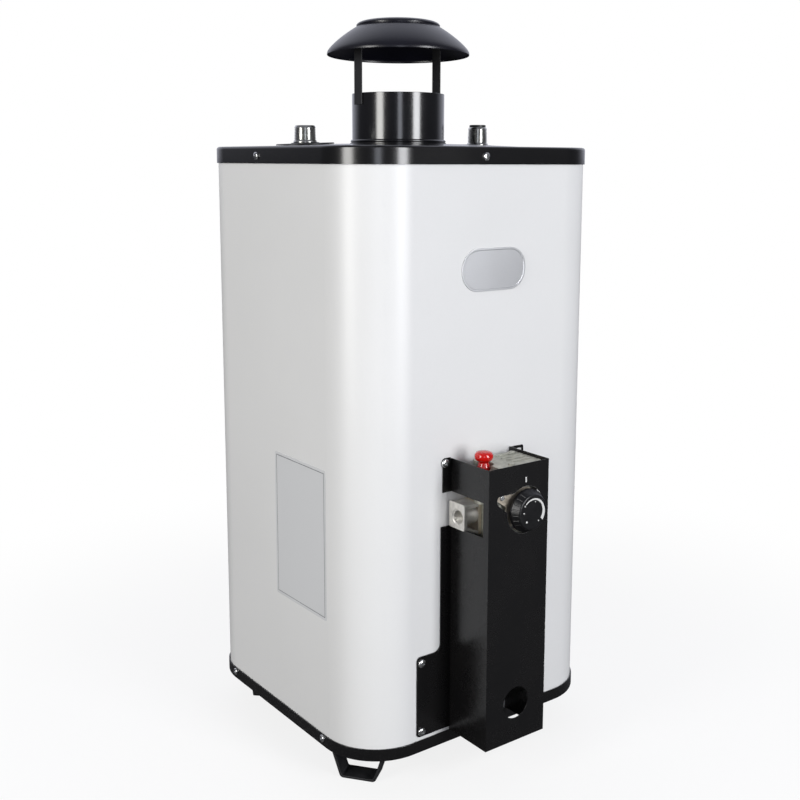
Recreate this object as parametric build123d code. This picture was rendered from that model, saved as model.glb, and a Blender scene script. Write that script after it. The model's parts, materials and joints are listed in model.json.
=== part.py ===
"""Storage gas water heater: square jacket, flue with rain hat, front gas valve behind a folded shroud.

Millimetres. +Z is up, -Y is the front, and z = 0 is the floor under the feet.
Every function models its piece about the tank's axis; save() then shifts it, so that the origin
lies at the bottom centre of the whole heater's box.
"""
from build123d import *
import math
import os

# Jacket and the two black pans
JACKET_SIZE = 375.0
CORNER_RADIUS = 72.3
JACKET_SHEET = 1.2
HALF = JACKET_SIZE / 2
PAN_SHEET = 1.6
PAN_GAP = 0.4
PAN_HALF = HALF + PAN_GAP + PAN_SHEET
PAN_RADIUS = CORNER_RADIUS + PAN_GAP + PAN_SHEET
FOOT_HEIGHT = 42.0
BODY_HEIGHT = 713.0
TRAY_Z = FOOT_HEIGHT
TRAY_RIM = 14.7
CAP_Z = TRAY_Z + BODY_HEIGHT
CAP_RIM = 20.5
CAP_EDGE_ROUND = 3.5
CROWN_RISE = 5.0
CROWN_REACH = 175.0
CROWN_BALL = (CROWN_REACH ** 2 + CROWN_RISE ** 2) / (2 * CROWN_RISE)
AIR_OPENING_RADIUS = 118.0

# Feet, bent from strap steel, one across each corner
STRAP_WIDTH = 26.0
STRAP_THICK = 3.0
STRAP_BEND = 4.0
FOOT_FLAT = 42.0
FOOT_SPLAY = 12.5
FOOT_TAB = 12.0
FOOT_GAP = 0.15
FOOT_REACH = 200.5
# Each foot's direction from the axis in degrees, its outer edge's distance, and its shift sideways
FEET = {
    "foot_front_left": (217.5, 208.7, 11.3),
    "foot_front_right": (315.0, FOOT_REACH, 0.0),
    "foot_rear_left": (135.0, FOOT_REACH, 0.0),
    "foot_rear_right": (45.0, FOOT_REACH, 0.0),
}

# Flue
COLLAR_RADIUS = 58.7
COLLAR_SHEET = 1.2
COLLAR_TOP = CAP_Z + 66.7
HAT_RADIUS = 90.0
HAT_SHEET = 1.2
HAT_RIM_Z = CAP_Z + 113.5
HAT_RIM_DROP = 1.1
HAT_TALL = 44.5
HAT_NECK_RADIUS = 47.0
HAT_BEAD_RADIUS = 50.9
HAT_STRAP_WIDTH = 17.0
HAT_STRAP_THICK = 1.5
HAT_STRAP_TURN = -2.3

# Water connections: 3/4 inch pipe thread
NIPPLE_X = 136.0
NIPPLE_Y = 4.3
NIPPLE_RADIUS = 26.67 / 2
NIPPLE_BORE = 10.45
HOT_TOP = CAP_Z + 25.0
COLD_TOP = CAP_Z + 28.2
ESCUTCHEON_RADIUS = 35.2
ESCUTCHEON_THICK = 1.5
HUB_RADIUS = 17.0
HUB_TALL = 2.5
DIP_TUBE_RADIUS = 9.8
DIP_TUBE_WALL = 1.6
DIP_LIP_RADIUS = 10.95
DIP_LIP_TALL = 3.0

# Tank
TANK_RADIUS = 165.0
TANK_WALL = 2.6
SKIRT_SHEET = 1.5
TANK_BOTTOM = TRAY_Z + 122.0
TANK_TOP = CAP_Z - 62.0
HEAD_DISH = 20.0
FLUE_RADIUS = 45.0
FLUE_WALL = 2.6
ANODE_RADIUS = 11.0
ANODE_PLACE = (0.0, 112.0)

# Valve shroud, a folded sheet on the front face
SHROUD_X = -14.0
SHROUD_WIDTH = 91.6
SHROUD_DEPTH = 68.8
SHROUD_SHEET = 1.2
SHROUD_BOTTOM = TRAY_Z + 14.9
SHROUD_TOP = TRAY_Z + 353.8
SHROUD_FRONT_Y = -HALF - SHROUD_DEPTH
SHROUD_BEND = 2.0
NOTCH_BOTTOM = TRAY_Z + 273.0
NOTCH_TOP = TRAY_Z + 314.0
NOTCH_DEPTH = 59.0
NARROW_FLANGE = 15.0
WIDE_FLANGE = 49.5
WIDE_FLANGE_TOP = TRAY_Z + 120.0
WIDE_FLANGE_BOTTOM = TRAY_Z + 19.0
LEFT_EAR = 12.8
LEFT_EAR_TOP = TRAY_Z + 355.3
RIGHT_EAR = 21.2
RIGHT_EAR_TOP = TRAY_Z + 353.3
EAR_HOLE = (45.5, TRAY_Z + 348.1)
EAR_HOLE_SIZE = (9.6, 3.8)
DIAL_HOLE_RADIUS = 28.2
SLOT_LEFT = -47.5
SLOT_TOP = TRAY_Z + 321.0
SLOT_TIP_LOW = TRAY_Z + 311.9
SLOT_FOOT = (-31.5, TRAY_Z + 299.0)
SLOT_CORNER = 4.2
PEEPHOLE = (-13.9, TRAY_Z + 63.3)
PEEPHOLE_RADIUS = 19.3

# Gas valve
DIAL_X = -4.0
DIAL_Z = TRAY_Z + 298.5
DIAL_RADIUS = 25.7
DIAL_SKIRT = 3.2
DIAL_FACE_RADIUS = 20.2
DIAL_FLUTES = 24
DIAL_BACK_Y = -257.6
DIAL_FRONT_Y = -270.0
VALVE_LEFT = -37.0
VALVE_RIGHT = 26.0
VALVE_FRONT_Y = -246.0
VALVE_BACK_Y = -203.0
VALVE_BOTTOM = TRAY_Z + 258.0
VALVE_TOP = TRAY_Z + 345.0
COVER_THICK = 5.5
COVER_RIGHT = 29.3
COVER_FRONT_Y = -248.5
COVER_BACK_Y = -198.0
RIB_RISE = 1.2
FRONT_PLATE_Y = -250.0
FRONT_PLATE_SHEET = 1.5
FRONT_PLATE_RADIUS = 25.6
EAR_HALF_WIDTH = 9.9
EAR_LENGTH = 48.0
EAR_DIRECTION = 144.8
BOSS_RADIUS = 16.0
SPINDLE_RADIUS = 4.0
SHANK_RADIUS = 14.0
PROBE_RADIUS = 5.0
PROBE_REACH = 100.0
INLET_FACE_X = -64.0
INLET_FLANGE = 4.5
INLET_FLANGE_Y = (-218.3, -190.5)
INLET_FLANGE_Z = (TRAY_Z + 273.3, TRAY_Z + 304.5)
INLET_HOLE = (-206.1, TRAY_Z + 287.5)
INLET_NECK_RADIUS = 10.5
INLET_MOUTH_RADIUS = 9.0
INLET_BORE = 7.96
INLET_DEPTH = 15.0
WEB_Y = (-217.0, -192.0)
WEB_THICK = 4.0
SIDE_PLATE_THICK = 4.2
SIDE_PLATE_Y = (-217.3, -190.3)
SIDE_PLATE_Z = (TRAY_Z + 264.5, TRAY_Z + 303.5)

# Pilot button on the valve's top
BUTTON_X = -38.0
BUTTON_Y = -221.0
BUTTON_TOP = TRAY_Z + 366.2
BUTTON_RADIUS = 10.9
BUTTON_NECK = 5.7
BUTTON_COLLAR = 8.0
BUTTON_TRAVEL = 5.0
TOWER_RADIUS = 10.6
TOWER_BORE = 8.6
TOWER_TOP = TRAY_Z + 341.0
STEM_RADIUS = 2.0
STEM_SOCKET = 14.0
SPRING_COIL_RADIUS = 4.4
SPRING_WIRE_RADIUS = 0.5
SPRING_TURNS = 6
TOWER_DEPTH = 32.0
COLLAR_DEPTH = 28.0
SPRING_END_GAP = 0.3
SPRING_HEIGHT = BUTTON_TOP - COLLAR_DEPTH - TOWER_TOP + TOWER_DEPTH - 2 * SPRING_END_GAP

# Burner and its gas lines
BURNER_Z = TRAY_Z + 74.0
BURNER_RADIUS = 72.0
MIXER_RADIUS = 14.0
GAS_TUBE_RADIUS = 6.0
GAS_TUBE_X = 12.0
GAS_TUBE_Y = -226.0
DOOR_WIDTH = 104.0
DOOR_BOTTOM = TRAY_Z + 24.0
DOOR_TOP = TRAY_Z + 112.0
DOOR_LAP = 8.0
PILOT_TUBE_X = -28.0
THERMOCOUPLE_X = -18.0
HEAT_SHIELD_RADIUS = 88.0

# Drain cock on the right-hand face
DRAIN_Z = TRAY_Z + 148.0
DRAIN_BARREL_RADIUS = 8.0
DRAIN_REACH = 40.0
DRAIN_OUTLET_RADIUS = 13.4
DRAIN_OUTLET_DROP = 34.0
DRAIN_OUTLET_THREAD = 13.0
DRAIN_OUTLET_BORE = 8.0
LEVER_LENGTH = 34.0
LEVER_HUB = 5.5
LEVER_SCREW_HEAD = 2.3

# Front badge, a bare raised plate
BADGE_PLACE = (2.3, TRAY_Z + 571.5)
BADGE_SIZE = (97.0, 50.0)
BADGE_THICK = 1.5

# Fasteners
SCREW_SHANK = 2.1
SCREW_HOLE = 2.3
SCREW_HEAD_RADIUS = 4.6
SHROUD_HEAD_RADIUS = 5.2
SCREW_HEAD_TALL = 2.6
SCREW_HEAD_ROUND = 1.8
SCREW_CROSS = (4.4, 0.9, 1.3)
SCREW_LENGTH = 8.0
PAN_SCREW_GAP = 0.05
CAP_SCREW_Z = TRAY_Z + 701.5
TRAY_SCREW_Z = TRAY_Z + 9.5
CAP_SCREW_ALONG = -13.2
TRAY_SCREW_ALONG = (-107.0, 113.0)

# The tank's axis in the finished frame: the box's centre is the origin
FRONT_REACH = -DIAL_FRONT_Y
REAR_REACH = PAN_HALF + PAN_SCREW_GAP + SCREW_HEAD_TALL
LEFT_REACH = REAR_REACH
RIGHT_REACH = HALF + DRAIN_REACH + LEVER_HUB + LEVER_SCREW_HEAD
AXIS_X = (LEFT_REACH - RIGHT_REACH) / 2
AXIS_Y = (FRONT_REACH - REAR_REACH) / 2

os.makedirs("parts", exist_ok=True)


def save(name, shape):
    """Writes one piece, shifted from the tank's axis to the finished frame."""
    export_step(Pos(AXIS_X, AXIS_Y, 0) * shape, f"parts/{name}.step")


def slab(half, radius, low, high):
    """A rounded square block between two heights."""
    return Pos(0, 0, low) * extrude(RectangleRounded(2 * half, 2 * half, radius), high - low)


def upright(radius, low, high, x=0.0, y=0.0):
    """A cylinder standing on Z."""
    return Pos(x, y, (low + high) / 2) * Cylinder(radius, high - low)


def along_x(radius, start, end, y, z):
    """A cylinder lying along X."""
    return Pos((start + end) / 2, y, z) * Rot(0, 90, 0) * Cylinder(radius, abs(end - start))


def along_y(radius, start, end, x, z):
    """A cylinder lying along Y."""
    return Pos(x, (start + end) / 2, z) * Rot(90, 0, 0) * Cylinder(radius, abs(end - start))


def block(x, y, z):
    """A box given by its low and high value on each axis."""
    size = [high - low for low, high in (x, y, z)]
    middle = [(high + low) / 2 for low, high in (x, y, z)]
    return Pos(*middle) * Box(*size)


def turned(points):
    """A solid of revolution about Z from a closed outline of (radius, height) points."""
    return revolve(Plane.XZ * make_face(Polyline(*points, close=True)), Axis.Z)


def bent_strip(points, bend, thick, width):
    """A flat strip bent along a path in the XZ plane, its width along Y."""
    path = Plane.XZ * FilletPolyline(*points, radius=bend)
    start = Plane(origin=path @ 0, x_dir=(0, 1, 0), z_dir=path % 0)
    return sweep(start * Rectangle(width, thick), path=path)


def bent_tube(points, bend, radius, bore=0.0):
    """A tube along straight runs joined by arcs."""
    path = FilletPolyline(*points, radius=bend)
    start = Plane(origin=path @ 0, z_dir=path % 0)
    tube = sweep(start * Circle(radius), path=path)
    if bore:
        tube -= sweep(start * Circle(bore), path=path)
    return tube


def screw(place, outward, radius=SCREW_HEAD_RADIUS):
    """A pan-head screw with a cross recess, whose head rests on the face at place, pointing outward."""
    shank = Pos(0, 0, -SCREW_LENGTH / 2) * Cylinder(SCREW_SHANK, SCREW_LENGTH)
    head = Pos(0, 0, SCREW_HEAD_TALL / 2) * Cylinder(radius, SCREW_HEAD_TALL)
    head = fillet(head.faces().sort_by(Axis.Z)[-1].edges(), SCREW_HEAD_ROUND)
    long, wide, deep = SCREW_CROSS
    cross = Pos(0, 0, SCREW_HEAD_TALL - deep / 2) * (Box(long, wide, deep) + Box(wide, long, deep))
    return Plane(origin=place, z_dir=outward) * (shank + head - cross)


def pan_screw_places():
    """Places and directions of the screws through the cap's rim and the tray's rim."""
    face = PAN_HALF + PAN_SCREW_GAP
    cap = [((-face, -2.2 * CAP_SCREW_ALONG, CAP_SCREW_Z), (-1, 0, 0)),
           ((face, -2.2 * CAP_SCREW_ALONG, CAP_SCREW_Z), (1, 0, 0)),
           ((CAP_SCREW_ALONG, -face, CAP_SCREW_Z), (0, -1, 0)),
           ((CAP_SCREW_ALONG, face, CAP_SCREW_Z), (0, 1, 0))]
    tray = []
    for y in TRAY_SCREW_ALONG:
        tray += [((-face, y, TRAY_SCREW_Z), (-1, 0, 0)), ((face, y, TRAY_SCREW_Z), (1, 0, 0))]
    for x in (-100.0, 100.0):
        tray.append(((x, face, TRAY_SCREW_Z), (0, 1, 0)))
    return cap, tray


def shroud_screw_places():
    """Places of the five screws that hold the shroud's left ear and flanges to the front face."""
    left = SHROUD_X - SHROUD_WIDTH / 2
    right = SHROUD_X + SHROUD_WIDTH / 2
    face = -HALF - SHROUD_SHEET - 0.35
    spots = [(left - 9.6, TRAY_Z + 349.2)]
    for x in (left - 42.5, right + 42.5):
        spots += [(x, TRAY_Z + 111.5), (x, TRAY_Z + 25.5)]
    return [((x, face, z), (0, -1, 0)) for x, z in spots]


def holes_for(screws):
    """Clearance holes where the given screws pass through the sheets."""
    holes = None
    for place, outward in screws:
        hole = Plane(origin=place, z_dir=outward) * Cylinder(SCREW_HOLE, 30)
        holes = hole if holes is None else holes + hole
    return holes


CAP_SCREWS, TRAY_SCREWS = pan_screw_places()
SHROUD_SCREWS = shroud_screw_places()


def jacket():
    """The painted outer shell, with the burner door, valve, drain and screw holes."""
    low, high = TRAY_Z + PAN_SHEET + 0.3, CAP_Z - CAP_EDGE_ROUND - 1.0
    shell = slab(HALF, CORNER_RADIUS, low, high)
    shell -= slab(HALF - JACKET_SHEET, CORNER_RADIUS - JACKET_SHEET, low - 1, high + 1)
    half_door = DOOR_WIDTH / 2
    wide = (SHROUD_X - half_door, SHROUD_X + half_door)
    shell -= block(wide, (-HALF - 5, -HALF + 10), (DOOR_BOTTOM, DOOR_TOP))
    shell -= along_y(SHANK_RADIUS + 4, -HALF - 5, -HALF + 10, DIAL_X, DIAL_Z)
    shell -= along_x(DRAIN_BARREL_RADIUS + 3, HALF - 10, HALF + 5, 0, DRAIN_Z)
    return shell - holes_for(CAP_SCREWS) - holes_for(TRAY_SCREWS) - holes_for(SHROUD_SCREWS)


def crown(inset):
    """The cap's shallow domed middle, above the flat rim plane."""
    ball = Pos(0, 0, CAP_Z + CROWN_RISE - inset - CROWN_BALL) * Sphere(CROWN_BALL)
    return ball & upright(CROWN_REACH - inset, CAP_Z - 2 * PAN_SHEET - inset, CAP_Z + 20)


def top_cap():
    """The black top pan with a rounded edge, open for the flue and the two nipples."""
    outer = slab(PAN_HALF, PAN_RADIUS, CAP_Z - CAP_RIM, CAP_Z)
    outer = fillet(outer.faces().sort_by(Axis.Z)[-1].edges(), CAP_EDGE_ROUND)
    inner = slab(HALF + PAN_GAP, CORNER_RADIUS + PAN_GAP, CAP_Z - CAP_RIM - 1, CAP_Z - PAN_SHEET)
    inner = fillet(inner.faces().sort_by(Axis.Z)[-1].edges(), CAP_EDGE_ROUND - PAN_SHEET)
    pan = outer + crown(0) - inner - crown(PAN_SHEET)
    pan -= upright(COLLAR_RADIUS + 0.4, CAP_Z - 30, CAP_Z + 30)
    for x in (-NIPPLE_X, NIPPLE_X):
        pan -= upright(NIPPLE_RADIUS + 2.5, CAP_Z - 30, CAP_Z + 30, x, NIPPLE_Y)
    return pan - holes_for(CAP_SCREWS)


def bottom_tray():
    """The black bottom pan with its round air opening."""
    pan = slab(PAN_HALF, PAN_RADIUS, TRAY_Z, TRAY_Z + TRAY_RIM)
    pan -= slab(HALF + PAN_GAP, CORNER_RADIUS + PAN_GAP, TRAY_Z + PAN_SHEET, TRAY_Z + 40)
    pan -= upright(AIR_OPENING_RADIUS, TRAY_Z - 1, TRAY_Z + 40)
    return pan - holes_for(TRAY_SCREWS)


def foot(direction, reach, shift):
    """A strap foot under the tray, across a corner, its tabs bent inward under the tray's floor."""
    top = FOOT_HEIGHT - STRAP_THICK / 2 - FOOT_GAP
    low = STRAP_THICK / 2
    half = FOOT_FLAT / 2
    wide = half + FOOT_SPLAY
    inner = wide - FOOT_TAB
    points = [(-inner, top), (-wide, top), (-half, low), (half, low), (wide, top), (inner, top)]
    strap = bent_strip(points, STRAP_BEND, STRAP_THICK, STRAP_WIDTH)
    return Rot(0, 0, direction) * Pos(reach - STRAP_WIDTH / 2, shift, 0) * Rot(0, 0, 90) * strap


def flue_collar():
    """The open flue pipe, with a rolled bead where it meets the cap."""
    base = CAP_Z + CROWN_RISE - COLLAR_RADIUS ** 2 / (2 * CROWN_BALL) + 0.05
    low = TANK_TOP + HEAD_DISH + 6
    outer, inner = COLLAR_RADIUS, COLLAR_RADIUS - COLLAR_SHEET
    flange = [(outer, base), (outer + 2.6, base), (outer + 2.8, base + 0.6), (outer + 2.6, base + 1.3)]
    bead = [(outer + 1.2, base + 1.7), (outer + 1.9, base + 2.5), (outer + 2.1, base + 3.2),
            (outer + 1.8, base + 4.1), (outer + 1.0, base + 4.8), (outer, base + 5.2)]
    return turned([(inner, low), (outer, low), *flange, *bead, (outer, COLLAR_TOP), (inner, COLLAR_TOP)])


def hat_outside(z):
    """The outer side of the hat's skin above its rim plane z: lip, shoulder, cone, neck, bead and dome."""
    rim, neck, bead = HAT_RADIUS, HAT_NECK_RADIUS, HAT_BEAD_RADIUS
    lip = Line((rim, z - HAT_RIM_DROP), (rim, z + 2.4))
    shoulder = ThreePointArc(lip @ 1, (rim - 1.6, z + 6.8), (rim - 4.2, z + 9.4))
    cone = ThreePointArc(shoulder @ 1, (neck + 21.6, z + 22.8), (neck + 5.6, z + 32.6))
    step = Line(cone @ 1, (neck + 1.2, z + 34.2))
    groove = ThreePointArc(step @ 1, (neck, z + 35.4), (neck + 1.2, z + 36.4))
    under = Line(groove @ 1, (bead - 0.8, z + 36.9))
    edge = ThreePointArc(under @ 1, (bead, z + 38.1), (bead - 0.7, z + 39.5))
    slope = ThreePointArc(edge @ 1, (bead - 4.9, z + 42.0), (bead - 13.9, z + 43.7))
    top = Polyline(slope @ 1, (20, z + 44.3), (0, z + HAT_TALL))
    return lip + shoulder + cone + step + groove + under + edge + slope + top


def hat_inside(z):
    """The inner side of the hat's skin, a sheet's thickness under the outer side."""
    rim, neck = HAT_RADIUS - HAT_SHEET, HAT_NECK_RADIUS - HAT_SHEET
    lip = Line((rim, z - HAT_RIM_DROP), (rim, z + 2.2))
    shoulder = ThreePointArc(lip @ 1, (rim - 1.5, z + 6.1), (rim - 3.9, z + 8.4))
    cone = ThreePointArc(shoulder @ 1, (neck + 22.1, z + 21.8), (neck + 6.2, z + 31.5))
    bead = Polyline(cone @ 1, (neck + 0.4, z + 33.6), (neck, z + 36.6), (neck + 2.2, z + 38.3),
                    (neck - 1, z + 41.1))
    dome = Polyline(bead @ 1, (neck - 8.8, z + 42.4), (20, z + 43.1), (0, z + HAT_TALL - HAT_SHEET))
    return lip + shoulder + cone + bead + dome


def rain_hat():
    """The spun hat over the flue: rounded lip, cone and a raised crown with a rolled bead."""
    z = HAT_RIM_Z
    rim = Line((HAT_RADIUS, z - HAT_RIM_DROP), (HAT_RADIUS - HAT_SHEET, z - HAT_RIM_DROP))
    axis = Line((0, z + HAT_TALL), (0, z + HAT_TALL - HAT_SHEET))
    return revolve(Plane.XZ * make_face(hat_outside(z) + rim + hat_inside(z) + axis), Axis.Z)


def hat_strap(side):
    """A flat strap from the collar's outside up to the hat's underside; side is -1 or +1."""
    out = COLLAR_RADIUS + HAT_STRAP_THICK / 2 + 0.15
    low = COLLAR_TOP - 14.5
    knee = (out, HAT_RIM_Z + 25.8)
    tip = (out - 8.1, HAT_RIM_Z + 30.2)
    strap = bent_strip([(out, low), knee, tip], 5.0, HAT_STRAP_THICK, HAT_STRAP_WIDTH)
    turn = HAT_STRAP_TURN + (0 if side > 0 else 180)
    return Rot(0, 0, turn) * strap


def nipple(x, top):
    """A steel pipe nipple from the tank's head up through the cap, flared at the cap."""
    low = TANK_TOP - 8
    flare_z = CAP_Z + 5.5
    wide = NIPPLE_RADIUS + 1.0
    profile = [(NIPPLE_BORE, low), (NIPPLE_RADIUS, low), (NIPPLE_RADIUS, flare_z - 1.5), (wide, flare_z - 1.0),
               (wide, flare_z), (NIPPLE_RADIUS, flare_z + 2.5), (NIPPLE_RADIUS, top - 1.0),
               (NIPPLE_RADIUS - 1.0, top), (NIPPLE_BORE, top)]
    return Pos(x, NIPPLE_Y, 0) * turned(profile)


def escutcheon(side):
    """A black disc with a low hub, lying on the crown's slope round a nipple."""
    slope = math.degrees(math.atan(NIPPLE_X / CROWN_BALL))
    seat = CAP_Z + CROWN_RISE - NIPPLE_X ** 2 / (2 * CROWN_BALL) + 0.25
    bore = NIPPLE_RADIUS + 1.4
    disc = Pos(0, 0, ESCUTCHEON_THICK / 2) * Cylinder(ESCUTCHEON_RADIUS, ESCUTCHEON_THICK)
    disc = chamfer(disc.faces().sort_by(Axis.Z)[-1].edges(), 0.6)
    hub = Pos(0, 0, HUB_TALL / 2) * Cylinder(HUB_RADIUS, HUB_TALL)
    hub = fillet(hub.faces().sort_by(Axis.Z)[-1].edges(), 0.8)
    disc = disc + hub - Cylinder(bore, 20)
    return Pos(side * NIPPLE_X, NIPPLE_Y, seat) * Rot(0, side * slope, 0) * disc


def dip_tube():
    """The plastic tube that carries cold water down; its lip caps the cold nipple."""
    inner = DIP_TUBE_RADIUS - DIP_TUBE_WALL
    low, seat = TANK_BOTTOM + 60, COLD_TOP + 0.1
    top = seat + DIP_LIP_TALL
    profile = [(inner, low), (DIP_TUBE_RADIUS, low), (DIP_TUBE_RADIUS, seat), (DIP_LIP_RADIUS, seat),
               (DIP_LIP_RADIUS, top - 0.6), (DIP_LIP_RADIUS - 0.6, top), (inner, top)]
    return Pos(NIPPLE_X, NIPPLE_Y, 0) * turned(profile)


def tank_head(edge_z, dish, hole):
    """A dished tank end with a rolled edge and a flue hole; it rises by dish towards its middle."""
    edge = TANK_RADIUS - TANK_WALL - 0.2
    thick = 3.0
    outside = [(hole, edge_z + dish), (100, edge_z + 0.8 * dish), (edge - 18, edge_z + 0.3 * dish),
               (edge, edge_z - 6)]
    rim = [(edge, edge_z - 16), (edge - thick, edge_z - 16)]
    inside = [(edge - thick, edge_z - 6 - thick / 2), (edge - 19, edge_z + 0.3 * dish - thick),
              (100, edge_z + 0.8 * dish - thick), (hole, edge_z + dish - thick)]
    return turned(outside + rim + inside)


def tank_top_head():
    """The tank's top end, with holes for the nipples and the anode."""
    head = tank_head(TANK_TOP, HEAD_DISH, FLUE_RADIUS + 0.2)
    for x in (-NIPPLE_X, NIPPLE_X):
        head -= upright(NIPPLE_RADIUS + 0.2, TANK_TOP - 40, TANK_TOP + 60, x, NIPPLE_Y)
    return head - upright(ANODE_RADIUS + 0.2, TANK_TOP - 40, TANK_TOP + 60, *ANODE_PLACE)


def tank_shell():
    """The tank's wall, with the spud holes for the valve's shank and the drain."""
    wall = upright(TANK_RADIUS, TANK_BOTTOM - 18, TANK_TOP - 1)
    wall -= upright(TANK_RADIUS - TANK_WALL, TANK_BOTTOM - 40, TANK_TOP + 40)
    wall -= along_y(PROBE_RADIUS + 3.5, -TANK_RADIUS - 10, -TANK_RADIUS + 20, DIAL_X, DIAL_Z)
    return wall - along_x(DRAIN_BARREL_RADIUS + 0.3, TANK_RADIUS - 20, TANK_RADIUS + 10, 0, DRAIN_Z)


def flue_tube():
    """The flue pipe through the middle of the tank."""
    pipe = upright(FLUE_RADIUS, TANK_BOTTOM - 6, TANK_TOP + HEAD_DISH + 4)
    return pipe - upright(FLUE_RADIUS - FLUE_WALL, TANK_BOTTOM - 10, TANK_TOP + 60)


def flue_baffle():
    """The folded strip that hangs in the flue and slows the hot gas."""
    folds = 10
    reach = 28.0
    low, high = TANK_BOTTOM + 40, TANK_TOP + 10
    step = (high - low) / folds
    points = [((-1) ** k * reach, low + k * step) for k in range(folds + 1)]
    return bent_strip(points, 6.0, 1.5, 50.0)


def anode_rod():
    """The magnesium rod and its hex plug on the tank's top head."""
    head_z = TANK_TOP + 0.72 * HEAD_DISH
    rod = upright(ANODE_RADIUS - 3, head_z - 420, head_z + 2) + upright(ANODE_RADIUS, head_z - 12, head_z + 4)
    plug = Pos(0, 0, head_z + 4) * extrude(RegularPolygon(15.5, 6), 9)
    return Pos(*ANODE_PLACE, 0) * (rod + plug)


def insulation():
    """The blanket between the tank and the jacket, cut away for whatever passes through it."""
    low, high = TANK_BOTTOM + 4, CAP_Z - 26
    fill = slab(HALF - JACKET_SHEET - 0.6, CORNER_RADIUS - JACKET_SHEET - 0.6, low, high)
    fill -= upright(TANK_RADIUS + 0.5, low - 1, TANK_TOP + HEAD_DISH + 4)
    fill -= upright(COLLAR_RADIUS + 1, low, high + 10)
    for x in (-NIPPLE_X, NIPPLE_X):
        fill -= upright(NIPPLE_RADIUS + 2, low, high + 10, x, NIPPLE_Y)
    fill -= upright(ANODE_RADIUS + 6, TANK_TOP, TANK_TOP + HEAD_DISH + 14, *ANODE_PLACE)
    fill -= along_y(SHANK_RADIUS + 3, -HALF, -100, DIAL_X, DIAL_Z)
    fill -= along_x(DRAIN_BARREL_RADIUS + 2, 100, HALF, 0, DRAIN_Z)
    face = -HALF + 12
    for (x, _, z), _ in SHROUD_SCREWS:
        fill -= along_y(SCREW_HOLE + 1, -HALF, face, x, z)
    return fill


def combustion_skirt():
    """The steel wall that carries the tank round the burner, open at the front for the burner's mixer."""
    wall = upright(TANK_RADIUS, TRAY_Z + PAN_SHEET + 0.1, TANK_BOTTOM - 18.1)
    wall -= upright(TANK_RADIUS - SKIRT_SHEET, TRAY_Z, TANK_BOTTOM)
    half_door = DOOR_WIDTH / 2
    return wall - block((SHROUD_X - half_door, SHROUD_X + half_door), (-200, 0), (DOOR_BOTTOM, DOOR_TOP))


def access_door():
    """The inner plate over the burner opening, with ports for the gas lines and the sight glass."""
    half = DOOR_WIDTH / 2 + DOOR_LAP
    back = -HALF + JACKET_SHEET + 0.1
    tall = (DOOR_BOTTOM - DOOR_LAP, DOOR_TOP + DOOR_LAP)
    plate = block((SHROUD_X - half, SHROUD_X + half), (back, back + 1.2), tall)
    plate -= along_y(GAS_TUBE_RADIUS + 2, back - 5, back + 5, GAS_TUBE_X, BURNER_Z)
    plate -= along_y(13, back - 5, back + 5, *PEEPHOLE)
    lines = (PILOT_TUBE_X - 4, THERMOCOUPLE_X + 4)
    return plate - block(lines, (back - 5, back + 5), (BURNER_Z + 3, BURNER_Z + 18))


def sight_glass():
    """The mica disc behind the door's viewing hole, with its rolled frame."""
    back = -HALF + JACKET_SHEET + 1.4
    return along_y(15.5, back, back + 1.0, *PEEPHOLE)


def valve_shroud():
    """The black folded cover round the gas valve: front, two notched sides and bolt-on flanges."""
    left, right = SHROUD_X - SHROUD_WIDTH / 2, SHROUD_X + SHROUD_WIDTH / 2
    front, back = SHROUD_FRONT_Y, -HALF - 0.3
    tall = SHROUD_TOP - SHROUD_BOTTOM
    middle_z = (SHROUD_TOP + SHROUD_BOTTOM) / 2
    depth = back - front
    channel = Pos(SHROUD_X, (front + back) / 2, middle_z) * Box(SHROUD_WIDTH, depth, tall)
    channel = fillet(channel.edges().filter_by(Axis.Z).sort_by(Axis.Y)[:2], SHROUD_BEND)
    hollow = block((left + SHROUD_SHEET, right - SHROUD_SHEET), (front + SHROUD_SHEET, back + 1),
                   (SHROUD_BOTTOM - 1, SHROUD_TOP + 1))
    hollow = fillet(hollow.edges().filter_by(Axis.Z).sort_by(Axis.Y)[:2], SHROUD_BEND - SHROUD_SHEET)
    channel -= hollow
    channel -= block((left - 1, right + 1), (-HALF - NOTCH_DEPTH, back + 1), (NOTCH_BOTTOM, NOTCH_TOP))
    channel += shroud_flange(-1, left) + shroud_ear(-1, left, LEFT_EAR, LEFT_EAR_TOP)
    channel += shroud_flange(1, right) + shroud_ear(1, right, RIGHT_EAR, RIGHT_EAR_TOP)
    channel -= ear_hole()
    channel -= dial_opening()
    channel -= along_y(PEEPHOLE_RADIUS, front - 5, front + 5, *PEEPHOLE)
    return channel - holes_for(SHROUD_SCREWS)


def flat_sheet(outline, front_y):
    """A sheet standing in the XZ plane, its front face at front_y."""
    return Plane(origin=(0, front_y, 0), x_dir=(1, 0, 0), z_dir=(0, 1, 0)) * extrude(outline, SHROUD_SHEET)


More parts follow.
